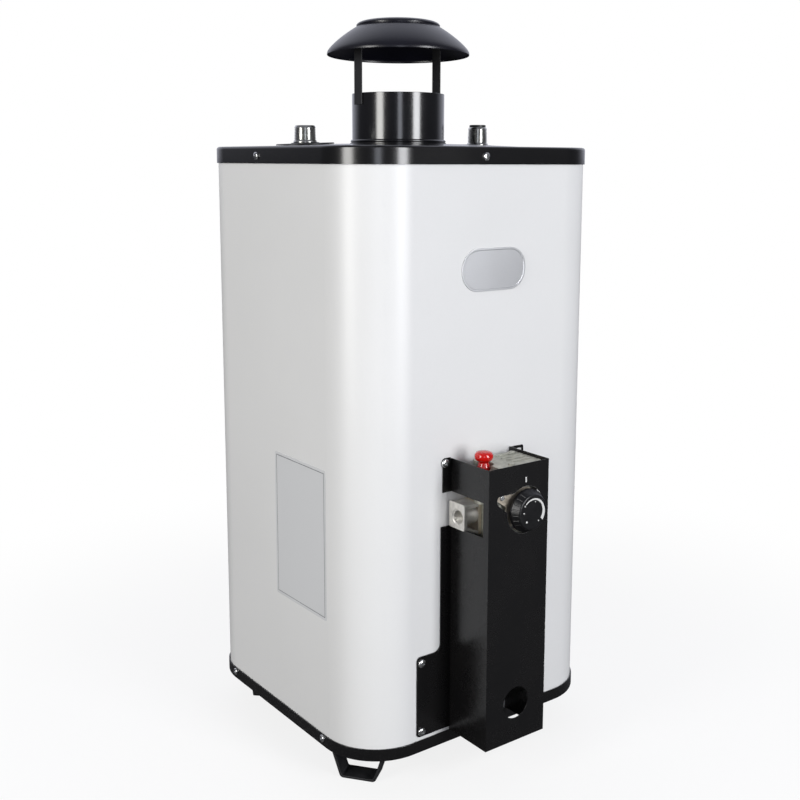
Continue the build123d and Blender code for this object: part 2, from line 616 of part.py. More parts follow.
def shroud_flange(side, wall):
    """The lower flange on the jacket: a narrow strip that widens to a plate at its foot."""
    face = -HALF - 0.3 - SHROUD_SHEET
    inner = wall - side * SHROUD_SHEET
    narrow = wall + side * NARROW_FLANGE
    wide = wall + side * WIDE_FLANGE
    corner = 5.0
    hollow = 9.0
    # Local y runs down, because the sheet's plane looks along +Y
    strip = Polyline((inner, -NOTCH_BOTTOM), (narrow, -NOTCH_BOTTOM), (narrow, -WIDE_FLANGE_TOP),
                     (wide, -WIDE_FLANGE_TOP), (wide, -WIDE_FLANGE_BOTTOM), (inner, -WIDE_FLANGE_BOTTOM),
                     close=True)
    outline = make_face(strip)
    inside = outline.vertices().sort_by_distance((narrow, -WIDE_FLANGE_TOP))[0]
    outline = fillet(inside, hollow)
    outer = [outline.vertices().sort_by_distance((wide, -z))[0] for z in (WIDE_FLANGE_TOP, WIDE_FLANGE_BOTTOM)]
    return flat_sheet(fillet(outer, corner), face)


def shroud_ear(side, wall, reach, top):
    """The upper ear on the jacket beside the shroud's arm, with a rounded top corner."""
    face = -HALF - 0.3 - SHROUD_SHEET
    inner, outer = wall - side * SHROUD_SHEET, wall + side * reach
    bend = wall + side * SHROUD_SHEET
    ear = Polyline((inner, -SHROUD_TOP), (bend, -SHROUD_TOP), (bend, -top), (outer, -top), (outer, -NOTCH_TOP),
                   (inner, -NOTCH_TOP), close=True)
    outline = make_face(ear)
    corner = outline.vertices().sort_by_distance((outer, -top))[0]
    return flat_sheet(fillet(corner, 2.5), face)


def ear_hole():
    """The spare oblong hole in the right ear."""
    x, z = EAR_HOLE
    plane = Plane(origin=(x, -HALF + 5, z), x_dir=(1, 0, 0), z_dir=(0, -1, 0))
    return plane * extrude(SlotOverall(*EAR_HOLE_SIZE), 10)


def dial_opening():
    """The hole for the dial, with a slanting slot that shows the valve plate's ear."""
    front = SHROUD_FRONT_Y
    hole = along_y(DIAL_HOLE_RADIUS, front - 5, front + 5, DIAL_X, DIAL_Z)
    tips = [(SLOT_LEFT, SLOT_TOP), (SLOT_LEFT, SLOT_TIP_LOW)]
    inside = DIAL_X - 11
    outline = make_face(Polyline((inside, SLOT_TOP), *tips, SLOT_FOOT, (inside, SLOT_FOOT[1]), close=True))
    outline = fillet([outline.vertices().sort_by_distance(tip)[0] for tip in tips], SLOT_CORNER)
    plane = Plane(origin=(0, front + 5, 0), x_dir=(1, 0, 0), z_dir=(0, -1, 0))
    return hole + plane * extrude(outline, 10)


def valve_body():
    """The cast valve: main block, dial boss, outlet boss and the tower that guides the button."""
    cast = block((VALVE_LEFT, VALVE_RIGHT), (VALVE_FRONT_Y, VALVE_BACK_Y), (VALVE_BOTTOM, VALVE_TOP))
    cast = fillet(cast.edges().filter_by(Axis.Z), 4.0)
    cast = chamfer(cast.faces().sort_by(Axis.Z)[0].edges(), 3.0)
    cast += along_y(BOSS_RADIUS, VALVE_FRONT_Y - 3.5, VALVE_FRONT_Y + 2, DIAL_X, DIAL_Z)
    cast += along_y(24, VALVE_BACK_Y - 2, -HALF - 6, DIAL_X, DIAL_Z)
    cast += upright(11, VALVE_BOTTOM - 9, VALVE_BOTTOM + 2, GAS_TUBE_X, GAS_TUBE_Y)
    cast += upright(TOWER_RADIUS, TOWER_TOP - TOWER_DEPTH - 4, TOWER_TOP, BUTTON_X, BUTTON_Y)
    for x, z in ear_screw_places():
        cast += along_y(5.2, FRONT_PLATE_Y + 0.1, VALVE_FRONT_Y + 14, x, z)
        cast -= along_y(1.7, FRONT_PLATE_Y - 1, FRONT_PLATE_Y + 7, x, z)
    cast -= upright(TOWER_BORE, TOWER_TOP - TOWER_DEPTH, VALVE_TOP + 20, BUTTON_X, BUTTON_Y)
    cast -= upright(GAS_TUBE_RADIUS + 0.3, VALVE_BOTTOM - 20, VALVE_BOTTOM + 6, GAS_TUBE_X, GAS_TUBE_Y)
    return cast - along_y(SPINDLE_RADIUS + 0.05, VALVE_FRONT_Y - 10, VALVE_FRONT_Y + 20, DIAL_X, DIAL_Z)


def valve_top_cover():
    """The ribbed cast cover on the valve, cut away round the button's tower."""
    low = VALVE_TOP + 0.2
    top = low + COVER_THICK
    cover = block((VALVE_LEFT, COVER_RIGHT), (COVER_FRONT_Y, COVER_BACK_Y), (low, top))
    cover = fillet(cover.edges().filter_by(Axis.Z), 5.0)
    for k in range(4):
        y = VALVE_FRONT_Y + 12 + k * 9
        cover += block((VALVE_LEFT + 30, VALVE_RIGHT - 3), (y - 1.2, y + 1.2), (top - 0.5, top + RIB_RISE))
    for x, y in ((VALVE_LEFT + 23, VALVE_FRONT_Y + 4), (VALVE_RIGHT - 5, VALVE_BACK_Y - 1)):
        cover += upright(4.0, top - 0.5, top + RIB_RISE + 0.5, x, y)
    return cover - upright(TOWER_RADIUS + 0.8, low - 5, low + 20, BUTTON_X, BUTTON_Y)


def thermostat_shank():
    """The threaded shank that screws the valve to the tank, with the long immersion probe."""
    start = -HALF - 5.8
    shank = along_y(SHANK_RADIUS, start, -TANK_RADIUS - 2, DIAL_X, DIAL_Z)
    nut = Pos(DIAL_X, -TANK_RADIUS - 8, DIAL_Z) * Rot(90, 0, 0) * extrude(RegularPolygon(16, 6), 6)
    probe = along_y(PROBE_RADIUS, -TANK_RADIUS - 3, -TANK_RADIUS + PROBE_REACH, DIAL_X, DIAL_Z)
    return shank + nut + probe


def inlet_block():
    """The die-cast gas inlet: a square flange with a threaded hole, on a neck between two webs."""
    back = INLET_FACE_X + INLET_FLANGE
    end = VALVE_LEFT - SIDE_PLATE_THICK - 0.25
    cast = block((INLET_FACE_X, back), INLET_FLANGE_Y, INLET_FLANGE_Z)
    cast = fillet(cast.edges().filter_by(Axis.X), 2.0)
    cast += along_x(INLET_NECK_RADIUS, back - 1, end, *INLET_HOLE)
    top = INLET_FLANGE_Z[1] - 1.5
    cast += block((back - 1, end), WEB_Y, (top - WEB_THICK, top))
    low = INLET_FLANGE_Z[0] + 0.1
    foot_z = SIDE_PLATE_Z[0] + 1
    lower = [(back - 1, low), (back + 1.5, low), (end, foot_z), (end, foot_z + WEB_THICK),
             (back - 1, low + WEB_THICK)]
    web = extrude(make_face(Polyline(*lower, close=True)), WEB_Y[1] - WEB_Y[0])
    cast += Plane(origin=(0, WEB_Y[1], 0), x_dir=(1, 0, 0), z_dir=(0, -1, 0)) * web
    cast -= Pos(INLET_FACE_X + 0.5, *INLET_HOLE) * Rot(0, 90, 0) * Cone(INLET_MOUTH_RADIUS, INLET_BORE, 1.04)
    return cast - along_x(INLET_BORE, INLET_FACE_X - 1, INLET_FACE_X + INLET_DEPTH, *INLET_HOLE)


def valve_side_plate():
    """The mounting plate between the inlet's neck and the valve's left side."""
    start = VALVE_LEFT - SIDE_PLATE_THICK - 0.1
    plate = block((start, start + SIDE_PLATE_THICK), SIDE_PLATE_Y, SIDE_PLATE_Z)
    return fillet(plate.edges().filter_by(Axis.X), 2.0)


def ear_screw_places():
    """The valve plate's screws: one on the ear, two on the round part behind the dial."""
    return [(-36.5, TRAY_Z + 317.0), (DIAL_X + 14, DIAL_Z - 17.5), (DIAL_X - 14, DIAL_Z - 17.5)]


def valve_front_plate():
    """The bright plate behind the dial, with an ear towards the upper left."""
    ear = Pos(EAR_LENGTH / 2, 0) * RectangleRounded(EAR_LENGTH, 2 * EAR_HALF_WIDTH, 4.0)
    outline = Pos(DIAL_X, DIAL_Z) * (Circle(FRONT_PLATE_RADIUS) + Rot(0, 0, EAR_DIRECTION) * ear)
    plane = Plane(origin=(0, FRONT_PLATE_Y, 0), x_dir=(1, 0, 0), z_dir=(0, -1, 0))
    plate = plane * extrude(outline, FRONT_PLATE_SHEET)
    plate -= along_y(BOSS_RADIUS + 1, FRONT_PLATE_Y - 9, FRONT_PLATE_Y + 5, DIAL_X, DIAL_Z)
    for x, z in ear_screw_places():
        plate -= along_y(1.7, FRONT_PLATE_Y - 9, FRONT_PLATE_Y + 5, x, z)
    return plate


def front_plate_screws():
    """The small pan-head screws in the valve's front plate."""
    face = FRONT_PLATE_Y - FRONT_PLATE_SHEET - 0.05
    group = []
    for x, z in ear_screw_places():
        head = fillet(along_y(3.2, face - 1.8, face, x, z).faces().sort_by(Axis.Y)[0].edges(), 0.8)
        head -= block((x - 2.2, x + 2.2), (face - 2.5, face - 0.9), (z - 0.4, z + 0.4))
        group.append(head + along_y(1.5, face - 0.5, face + 4, x, z))
    return Compound(group)


def dial_knob():
    """The black dial: skirt, tapered side with grip flutes, flat face and a hub behind."""
    deep = DIAL_BACK_Y - DIAL_FRONT_Y
    shoulder = (DIAL_FACE_RADIUS + 0.7, deep - 0.8)
    side = [(DIAL_RADIUS, 0), (DIAL_RADIUS, DIAL_SKIRT), shoulder, (DIAL_FACE_RADIUS, deep)]
    knob = turned([(0, 0), *side, (0, deep)])
    lean = math.degrees(math.atan2(DIAL_RADIUS - shoulder[0], shoulder[1] - DIAL_SKIRT))
    middle = ((DIAL_RADIUS + shoulder[0]) / 2 + 0.35, 0, (DIAL_SKIRT + shoulder[1]) / 2)
    groove = Pos(*middle) * Rot(0, -lean, 0) * Cylinder(0.9, 8.0)
    for k in range(DIAL_FLUTES):
        knob -= Rot(0, 0, 360 / DIAL_FLUTES * k) * groove
    knob += Pos(0, 0, -2.6) * Cylinder(12, 5.4)
    knob -= Pos(0, 0, -1.5) * Cylinder(SPINDLE_RADIUS + 0.02, 9.0)
    return Plane(origin=(DIAL_X, DIAL_BACK_Y, DIAL_Z), x_dir=(1, 0, 0), z_dir=(0, -1, 0)) * knob


def dial_spindle():
    """The valve's spindle, which carries the dial."""
    return along_y(SPINDLE_RADIUS, DIAL_BACK_Y - 2.5, VALVE_FRONT_Y + 18, DIAL_X, DIAL_Z)


def pilot_button():
    """The red mushroom button, with a collar that slides into the tower."""
    top = BUTTON_TOP
    lip = Line((0, top), (7.0, top - 0.9))
    crown_arc = ThreePointArc(lip @ 1, (BUTTON_RADIUS, top - 5.8), (9.3, top - 10.6))
    under = Line(crown_arc @ 1, (BUTTON_NECK, top - 13.2))
    neck = Line(under @ 1, (BUTTON_NECK, top - 14.0))
    flare = ThreePointArc(neck @ 1, (7.0, top - 16.8), (BUTTON_COLLAR, top - 20.2))
    side = Line(flare @ 1, (BUTTON_COLLAR, top - COLLAR_DEPTH))
    base = Line(side @ 1, (0, top - COLLAR_DEPTH))
    axis = Line(base @ 1, lip @ 0)
    outline = make_face(lip + crown_arc + under + neck + flare + side + base + axis)
    cap = revolve(Plane.XZ * outline, Axis.Z)
    cap -= upright(STEM_RADIUS, top - COLLAR_DEPTH - 4, top - STEM_SOCKET)
    return Pos(BUTTON_X, BUTTON_Y, 0) * cap


def button_stem():
    """The steel rod under the button."""
    low = TOWER_TOP - TOWER_DEPTH + BUTTON_TRAVEL + 1
    return upright(STEM_RADIUS, low, BUTTON_TOP - STEM_SOCKET - 0.2, BUTTON_X, BUTTON_Y)


def button_spring():
    """The return spring round the stem, one unbroken wire."""
    pitch = SPRING_HEIGHT / SPRING_TURNS
    low = TOWER_TOP - TOWER_DEPTH + SPRING_END_GAP
    path = Helix(pitch, SPRING_HEIGHT - 2 * SPRING_WIRE_RADIUS, SPRING_COIL_RADIUS)
    wire = sweep(Plane(origin=path @ 0, z_dir=path % 0) * Circle(SPRING_WIRE_RADIUS), path=path, is_frenet=True)
    print("button spring gap between turns", round(pitch - 2 * SPRING_WIRE_RADIUS, 2))
    return Pos(BUTTON_X, BUTTON_Y, low + SPRING_WIRE_RADIUS) * wire


def main_gas_tube():
    """The aluminium tube from the valve's outlet down and back to the burner's orifice."""
    top = VALVE_BOTTOM + 4
    points = [(GAS_TUBE_X, GAS_TUBE_Y, top), (GAS_TUBE_X, GAS_TUBE_Y, BURNER_Z), (GAS_TUBE_X, -150, BURNER_Z)]
    return bent_tube(points, 24.0, GAS_TUBE_RADIUS, GAS_TUBE_RADIUS - 1.2)


def gas_tube_nuts():
    """The compression nuts at both ends of the main tube."""
    upper = Pos(GAS_TUBE_X, GAS_TUBE_Y, VALVE_BOTTOM - 20) * extrude(RegularPolygon(10, 6), 10.5)
    lower = Pos(GAS_TUBE_X, -148, BURNER_Z) * Rot(90, 0, 0) * extrude(RegularPolygon(10, 6), 10)
    bore = upright(GAS_TUBE_RADIUS + 0.2, VALVE_BOTTOM - 30, VALVE_BOTTOM, GAS_TUBE_X, GAS_TUBE_Y)
    lower -= along_y(GAS_TUBE_RADIUS + 0.2, -160, -149, GAS_TUBE_X, BURNER_Z)
    return Compound([upper - bore, lower - along_y(2.0, -160, -140, GAS_TUBE_X, BURNER_Z)])


def thin_line(x, start_y, end_y, end_z, radius):
    """A thin tube from the valve's underside down and back to the pilot burner."""
    top = VALVE_BOTTOM - 0.3
    points = [(x, start_y, top), (x, start_y, end_z), (x, end_y, end_z)]
    return bent_tube(points, 18.0, radius)


def main_burner():
    """The round pressed-steel burner with a ring of ports and its mixer tube."""
    low, high = BURNER_Z - 9, BURNER_Z + 9
    edge = BURNER_RADIUS
    side = [(edge - 14, low), (edge, BURNER_Z - 2), (edge, BURNER_Z + 2), (edge - 14, high)]
    bowl = turned([(0, low), *side, (0, high)])
    ports = 24
    for k in range(ports):
        angle = 360 / ports * k
        bowl -= Rot(0, 0, angle) * Pos(edge - 7, 0, BURNER_Z + 6) * Cylinder(2.0, 9)
    mixer = along_y(8, -110, -20, GAS_TUBE_X, BURNER_Z)
    bell = Pos(GAS_TUBE_X, -122, BURNER_Z) * Rot(90, 0, 0) * Cone(8, MIXER_RADIUS, 26)
    bore = along_y(6.5, -136, -60, GAS_TUBE_X, BURNER_Z)
    return bowl + mixer + bell - bore


def burner_bracket():
    """The bent strip that carries the burner from the tray."""
    low = TRAY_Z + PAN_SHEET + 1.2
    high = BURNER_Z - 10.2
    reach = AIR_OPENING_RADIUS + 14
    points = [(-reach - 12, low), (-reach, low), (-60, high), (60, high), (reach, low), (reach + 12, low)]
    return Pos(0, 20, 0) * bent_strip(points, 8.0, 1.8, 24.0)


def pilot_burner():
    """The pilot bracket with its gas head, hood and thermocouple seat."""
    wide = (PILOT_TUBE_X - 5, THERMOCOUPLE_X + 5)
    seat = BURNER_Z + 9.2
    ledge = BURNER_Z + 22
    y = -91.0
    bracket = block(wide, (-62, -45), (seat, seat + 1.5)) + block(wide, (-62, -60.5), (seat, ledge))
    bracket += block(wide, (y - 6, -60.5), (ledge - 1.5, ledge))
    head = upright(3.5, BURNER_Z + 4, BURNER_Z + 32, PILOT_TUBE_X, y)
    tip = upright(2.4, BURNER_Z + 8, BURNER_Z + 36, THERMOCOUPLE_X, y)
    return bracket + head + tip


def heat_shield():
    """The dished plate under the burner that shields the floor."""
    low = TRAY_Z + 22
    edge = HEAT_SHIELD_RADIUS
    foot_z = TRAY_Z + PAN_SHEET + 0.9
    rim = [(edge - 8, low), (edge, low + 8), (edge, low + 9.5), (edge - 9, low + 1.5)]
    dish = turned([(0, low), *rim, (0, low + 1.5)])
    for angle in (90, 210, 330):
        leg = bent_strip([(edge - 4, low + 7), (126, low + 7), (126, foot_z), (144, foot_z)], 4.0, 1.4, 14.0)
        dish += Rot(0, 0, angle) * leg
    return dish


def drain_body():
    """The drain cock: barrel into the tank, hex, and an outlet pointing down."""
    start, end = TANK_RADIUS - 6, HALF + DRAIN_REACH
    body = along_x(DRAIN_BARREL_RADIUS, start, end, 0, DRAIN_Z)
    body += Pos(HALF + 3, 0, DRAIN_Z) * Rot(0, 90, 0) * extrude(RegularPolygon(13, 6), 8)
    body += along_x(11, HALF + 14, end - 4, 0, DRAIN_Z)
    middle = HALF + 24
    mouth = DRAIN_Z - DRAIN_OUTLET_DROP
    flange = mouth + DRAIN_OUTLET_THREAD
    body += upright(DRAIN_OUTLET_RADIUS, mouth, flange + 1, middle)
    body += upright(DRAIN_OUTLET_RADIUS + 1.6, flange, flange + 4, middle)
    body += upright(11, flange, DRAIN_Z, middle)
    body -= upright(DRAIN_OUTLET_BORE, mouth - 1, DRAIN_Z - 10, middle)
    return body - along_x(3.05, end - 14, end + 2, 0, DRAIN_Z)


def drain_escutcheon():
    """The ring that trims the drain's hole in the jacket."""
    ring = along_x(19, HALF + 0.3, HALF + 2.3, 0, DRAIN_Z)
    return ring - along_x(DRAIN_BARREL_RADIUS + 0.4, HALF - 2, HALF + 5, 0, DRAIN_Z)


def drain_lever():
    """The drain's quarter-turn lever and its stem."""
    end = HALF + DRAIN_REACH
    stem = along_x(3.0, end - 12, end + 4, 0, DRAIN_Z)
    hub = along_x(8.5, end + 0.4, end + LEVER_HUB, 0, DRAIN_Z)
    arm = block((end + 1.4, end + LEVER_HUB - 0.6), (-5, 5), (DRAIN_Z, DRAIN_Z + LEVER_LENGTH))
    arm += along_x(5, end + 1.4, end + LEVER_HUB - 0.6, 0, DRAIN_Z + LEVER_LENGTH)
    return stem + hub + arm


def drain_lever_screw():
    """The screw that holds the lever on its stem."""
    end = HALF + DRAIN_REACH + LEVER_HUB
    return along_x(3.4, end + 0.05, end + LEVER_SCREW_HEAD, 0, DRAIN_Z)


def front_badge():
    """The bare rounded plate on the jacket's front."""
    x, z = BADGE_PLACE
    plane = Plane(origin=(x, -HALF - 0.1, z), x_dir=(1, 0, 0), z_dir=(0, -1, 0))
    plate = plane * extrude(RectangleRounded(*BADGE_SIZE, 24.0), BADGE_THICK)
    return fillet(plate.faces().sort_by(Axis.Y)[0].edges(), 0.7)


PIECES = {
    "jacket": jacket, "top_cap": top_cap, "bottom_tray": bottom_tray,
    "flue_collar": flue_collar, "rain_hat": rain_hat, "dip_tube": dip_tube,
    "tank_shell": tank_shell, "tank_top_head": tank_top_head, "flue_tube": flue_tube, "flue_baffle": flue_baffle,
    "anode_rod": anode_rod, "insulation": insulation, "combustion_skirt": combustion_skirt,
    "access_door": access_door, "sight_glass": sight_glass, "valve_shroud": valve_shroud,
    "valve_body": valve_body, "valve_top_cover": valve_top_cover, "thermostat_shank": thermostat_shank,
    "inlet_block": inlet_block, "valve_side_plate": valve_side_plate, "valve_front_plate": valve_front_plate,
    "front_plate_screws": front_plate_screws, "dial_knob": dial_knob, "dial_spindle": dial_spindle,
    "pilot_button": pilot_button, "button_stem": button_stem, "button_spring": button_spring,
    "main_gas_tube": main_gas_tube, "gas_tube_nuts": gas_tube_nuts, "main_burner": main_burner,
    "burner_bracket": burner_bracket, "pilot_burner": pilot_burner, "heat_shield": heat_shield,
    "drain_body": drain_body, "drain_escutcheon": drain_escutcheon, "drain_lever": drain_lever,
    "drain_lever_screw": drain_lever_screw, "front_badge": front_badge,
}

for name, make in PIECES.items():
    save(name, make())
for name, (direction, reach, shift) in FEET.items():
    save(name, foot(direction, reach, shift))
for name, side in (("left", -1), ("right", 1)):
    save(f"hat_strap_{name}", hat_strap(side))
save("hot_nipple", nipple(-NIPPLE_X, HOT_TOP))
save("cold_nipple", nipple(NIPPLE_X, COLD_TOP))
save("hot_escutcheon", escutcheon(-1))
save("cold_escutcheon", escutcheon(1))
save("tank_bottom_head", tank_head(TANK_BOTTOM + 22, -HEAD_DISH, FLUE_RADIUS + 0.2))
save("pilot_tube", thin_line(PILOT_TUBE_X, -232.0, -94.7, BURNER_Z + 8, 2.4))
save("thermocouple_lead", thin_line(THERMOCOUPLE_X, -238.0, -93.6, BURNER_Z + 14, 1.6))
for name, places in (("cap_screws", CAP_SCREWS), ("tray_screws", TRAY_SCREWS)):
    save(name, Compound([screw(place, outward) for place, outward in places]))
save("shroud_screws", Compound([screw(place, outward, SHROUD_HEAD_RADIUS) for place, outward in SHROUD_SCREWS]))
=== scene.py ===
import bpy
import bmesh
import json
import math
from mathutils import Matrix, Vector


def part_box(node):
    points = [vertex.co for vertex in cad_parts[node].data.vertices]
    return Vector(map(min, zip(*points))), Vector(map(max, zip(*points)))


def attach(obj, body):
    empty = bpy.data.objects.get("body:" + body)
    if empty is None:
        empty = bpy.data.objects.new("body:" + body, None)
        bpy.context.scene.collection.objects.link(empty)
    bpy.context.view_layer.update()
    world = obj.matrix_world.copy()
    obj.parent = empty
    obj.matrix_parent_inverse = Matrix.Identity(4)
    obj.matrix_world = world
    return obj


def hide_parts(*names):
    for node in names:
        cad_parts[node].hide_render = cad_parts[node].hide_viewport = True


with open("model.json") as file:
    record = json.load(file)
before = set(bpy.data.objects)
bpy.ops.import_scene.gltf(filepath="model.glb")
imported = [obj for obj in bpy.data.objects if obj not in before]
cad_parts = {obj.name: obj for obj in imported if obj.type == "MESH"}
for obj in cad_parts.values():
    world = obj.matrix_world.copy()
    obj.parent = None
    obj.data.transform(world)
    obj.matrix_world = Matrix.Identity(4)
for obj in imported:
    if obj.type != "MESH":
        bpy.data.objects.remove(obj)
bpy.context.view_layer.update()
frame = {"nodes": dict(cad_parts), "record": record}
nodes = frame["nodes"]

# Places and lengths are millimetres from the tank's axis and the floor
low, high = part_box("tank_shell")
AXIS = Vector(((low.x + high.x) / 2, (low.y + high.y) / 2, 0.0))


def corners_of(node):
    """A node's lowest and highest corner, to a tenth of a millimetre."""
    return [[round(value * 1000, 1) for value in corner - AXIS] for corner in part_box(node)]


def middle_of(node):
    """The middle of a node's box, to a tenth of a millimetre."""
    low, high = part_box(node)
    return [round(value * 1000, 1) for value in (low + high) / 2 - AXIS]


# Driving dimensions, read from the frame: TRAY is the tray's underside, CAP the cap's flat top, HAT the
# hat's rim, which rolls 1.1 further down, and FLANGE_FACE the front of the valve cover's flanges
JACKET_LOW, JACKET_HIGH = corners_of("jacket")
JACKET_HALF = JACKET_HIGH[0]
JACKET_CORNER = 72.3
JACKET_SHEET = 1.2
PAN_HALF = JACKET_HALF + 2.0
PAN_CORNER = JACKET_CORNER + 2.0
PAN_SHEET = 1.6
TRAY = corners_of("bottom_tray")[0][2]
TRAY_RIM = corners_of("bottom_tray")[1][2]
CAP_SKIRT = 20.5
CAP = corners_of("top_cap")[0][2] + CAP_SKIRT
HAT = corners_of("rain_hat")[0][2] + 1.1
DIAL_DEPTH = 12.4
DIAL_X, DIAL_Z = middle_of("dial_knob")[0], middle_of("dial_knob")[2]
DIAL_Y = corners_of("dial_knob")[0][1] + DIAL_DEPTH
FLANGE_FACE = -(JACKET_HALF + 1.5)

# Turns that lay an upright form's top to one side
TO_FRONT = Matrix.Rotation(math.radians(90), 4, "X")
TO_LEFT = Matrix.Rotation(math.radians(-90), 4, "Y")
TO_RIGHT = Matrix.Rotation(math.radians(90), 4, "Y")
TO_BACK = Matrix.Rotation(math.radians(-90), 4, "X")
ORIGIN = Vector((0, 0, 0))


def at(x, y, z):
    """A point given in millimetres from the tank's axis and the floor, in the row frame."""
    return AXIS + Vector((x, y, z)) / 1000


# Modelling by hand

def deselect():
    for piece in bpy.context.selected_objects:
        piece.select_set(False)


def only(piece):
    """Makes a piece the one that operators act on."""
    deselect()
    piece.select_set(True)
    bpy.context.view_layer.objects.active = piece


def settle(name):
    """Names the piece just added and puts its place and size into its mesh."""
    piece = bpy.context.object
    piece.name = name
    bpy.ops.object.transform_apply(location=True, rotation=True, scale=True)
    return piece


def edit(piece):
    only(piece)
    bpy.ops.object.mode_set(mode="EDIT")
    bpy.ops.mesh.select_mode(type="VERT")


def done():
    bpy.ops.object.mode_set(mode="OBJECT")


def pick(piece, kind, test, origin=AXIS, open_edges=False):
    """In edit mode, selects the corners, edges or faces whose middle (mm) and direction pass the test."""
    bpy.ops.mesh.select_mode(type=kind)
    bpy.ops.mesh.select_all(action="DESELECT")
    mesh = bmesh.from_edit_mesh(piece.data)
    for part in {"VERT": mesh.verts, "EDGE": mesh.edges, "FACE": mesh.faces}[kind]:
        if open_edges and not part.is_boundary:
            continue
        if kind == "VERT":
            middle, way = part.co, None
        elif kind == "EDGE":
            start, end = part.verts
            middle, way = (start.co + end.co) / 2, (end.co - start.co).normalized()
        else:
            middle, way = part.calc_center_median(), part.normal
        if test((middle - origin) * 1000, way):
            part.select_set(True)
    bmesh.update_edit_mesh(piece.data)


def modify(piece, kind, **settings):
    """Adds a modifier and applies it."""
    only(piece)
    modifier = piece.modifiers.new(kind.lower(), kind)
    for key, value in settings.items():
        setattr(modifier, key, value)
    bpy.ops.object.modifier_apply(modifier=modifier.name)


def soften(piece, width, segments=2, angle=32):
    """Rounds every edge sharper than the angle by a small width."""
    modify(piece, "BEVEL", width=width / 1000, segments=segments, limit_method="ANGLE",
           angle_limit=math.radians(angle), miter_outer="MITER_ARC")


def thicken(piece, sheet, side=-1):
    """Gives a surface the thickness of its sheet: inwards with side -1, outwards with +1."""
    modify(piece, "SOLIDIFY", thickness=sheet / 1000, offset=side)


def cut(piece, cutter):
    """Cuts one piece's shape out of another."""
    modify(piece, "BOOLEAN", object=cutter, operation="DIFFERENCE", solver="EXACT")
    bpy.data.objects.remove(cutter)


def join(piece, *others):
    only(piece)
    for other in others:
        other.select_set(True)
    bpy.ops.object.join()
    return piece


def block(name, x, y, z):
    """A cube drawn out between the given ends on each axis."""
    deselect()
    middle = [(start + end) / 2 for start, end in (x, y, z)]
    size = [abs(end - start) / 1000 for start, end in (x, y, z)]
    bpy.ops.mesh.primitive_cube_add(size=1, location=at(*middle), scale=size)
    return settle(name)


def rounded_block(name, half, z, corner, segments=16):
    """An upright square block about the tank's axis with its four upright edges rounded."""
    piece = block(name, (-half, half), (-half, half), z)
    edit(piece)
    pick(piece, "EDGE", lambda middle, way: abs(way.z) > 0.9)
    bpy.ops.mesh.bevel(offset=corner / 1000, segments=segments, affect="EDGES")
    done()
    return piece


def open_ends(piece, *sides):
    """Takes away the faces that look along the given directions."""
    edit(piece)
    for side in sides:
        pick(piece, "FACE", lambda middle, way: way.dot(Vector(side)) > 0.99)
        bpy.ops.mesh.delete(type="FACE")
    done()


def ring_sheet(name, z, rings, segments):
    """A flat or domed sheet drawn from a circle, ring by ring, each ring a (radius, rise above z)."""
    deselect()
    radius, rise = rings[0]
    bpy.ops.mesh.primitive_circle_add(vertices=segments, radius=radius / 1000, location=at(0, 0, z + rise))
    piece = settle(name)
    edit(piece)
    bpy.ops.mesh.select_all(action="SELECT")
    for next_radius, next_rise in rings[1:]:
        lift = (next_rise - rise) / 1000
        grow = next_radius / radius
        bpy.ops.mesh.extrude_region_move(TRANSFORM_OT_translate={"value": (0, 0, lift)})
        bpy.ops.transform.resize(value=(grow, grow, 1), center_override=AXIS)
        radius, rise = next_radius, next_rise
    done()
    return piece


def fill_rim(piece, ring, z, inner=0.0):
    """Fills the flat at height z between a piece's open edge and a ring's, beyond an inner radius."""
    join(piece, ring)
    edit(piece)
    pick(piece, "EDGE", lambda middle, way: abs(middle.z - z) < 0.02 and
         math.hypot(middle.x, middle.y) > inner, open_edges=True)
    bpy.ops.mesh.fill(use_beauty=True)
    bpy.ops.mesh.select_all(action="SELECT")
    bpy.ops.mesh.remove_doubles(threshold=0.00001)
    bpy.ops.mesh.normals_make_consistent(inside=False)
    done()


def lathe(name, rings, hollow=False, segments=96):
    """A turned form drawn up ring by ring, each ring a (radius, height); a hollow one closes on itself."""
    deselect()
    radius, height = rings[0]
    bpy.ops.mesh.primitive_circle_add(vertices=segments, radius=radius / 1000,
                                      fill_type="NOTHING" if hollow else "NGON",
                                      location=(0, 0, height / 1000))
    piece = settle(name)
    edit(piece)
    bpy.ops.mesh.select_all(action="SELECT")
    for next_radius, next_height in rings[1:] + (rings[:1] if hollow else []):
        lift = (next_height - height) / 1000
        grow = next_radius / radius
        bpy.ops.mesh.extrude_region_move(TRANSFORM_OT_translate={"value": (0, 0, lift)})
        bpy.ops.transform.resize(value=(grow, grow, 1), center_override=(0, 0, 0))
        radius, height = next_radius, next_height
    bpy.ops.mesh.select_all(action="SELECT")
    bpy.ops.mesh.remove_doubles(threshold=0.000005)
    bpy.ops.mesh.normals_make_consistent(inside=False)
    done()
    return piece


def stand(piece, place, turn=Matrix()):
    """Puts a form made at the origin at its place, tilted as given."""
    only(piece)
    piece.matrix_world = Matrix.Translation(at(*place)) @ turn
    bpy.ops.object.transform_apply(location=True, rotation=True, scale=True)
    return piece


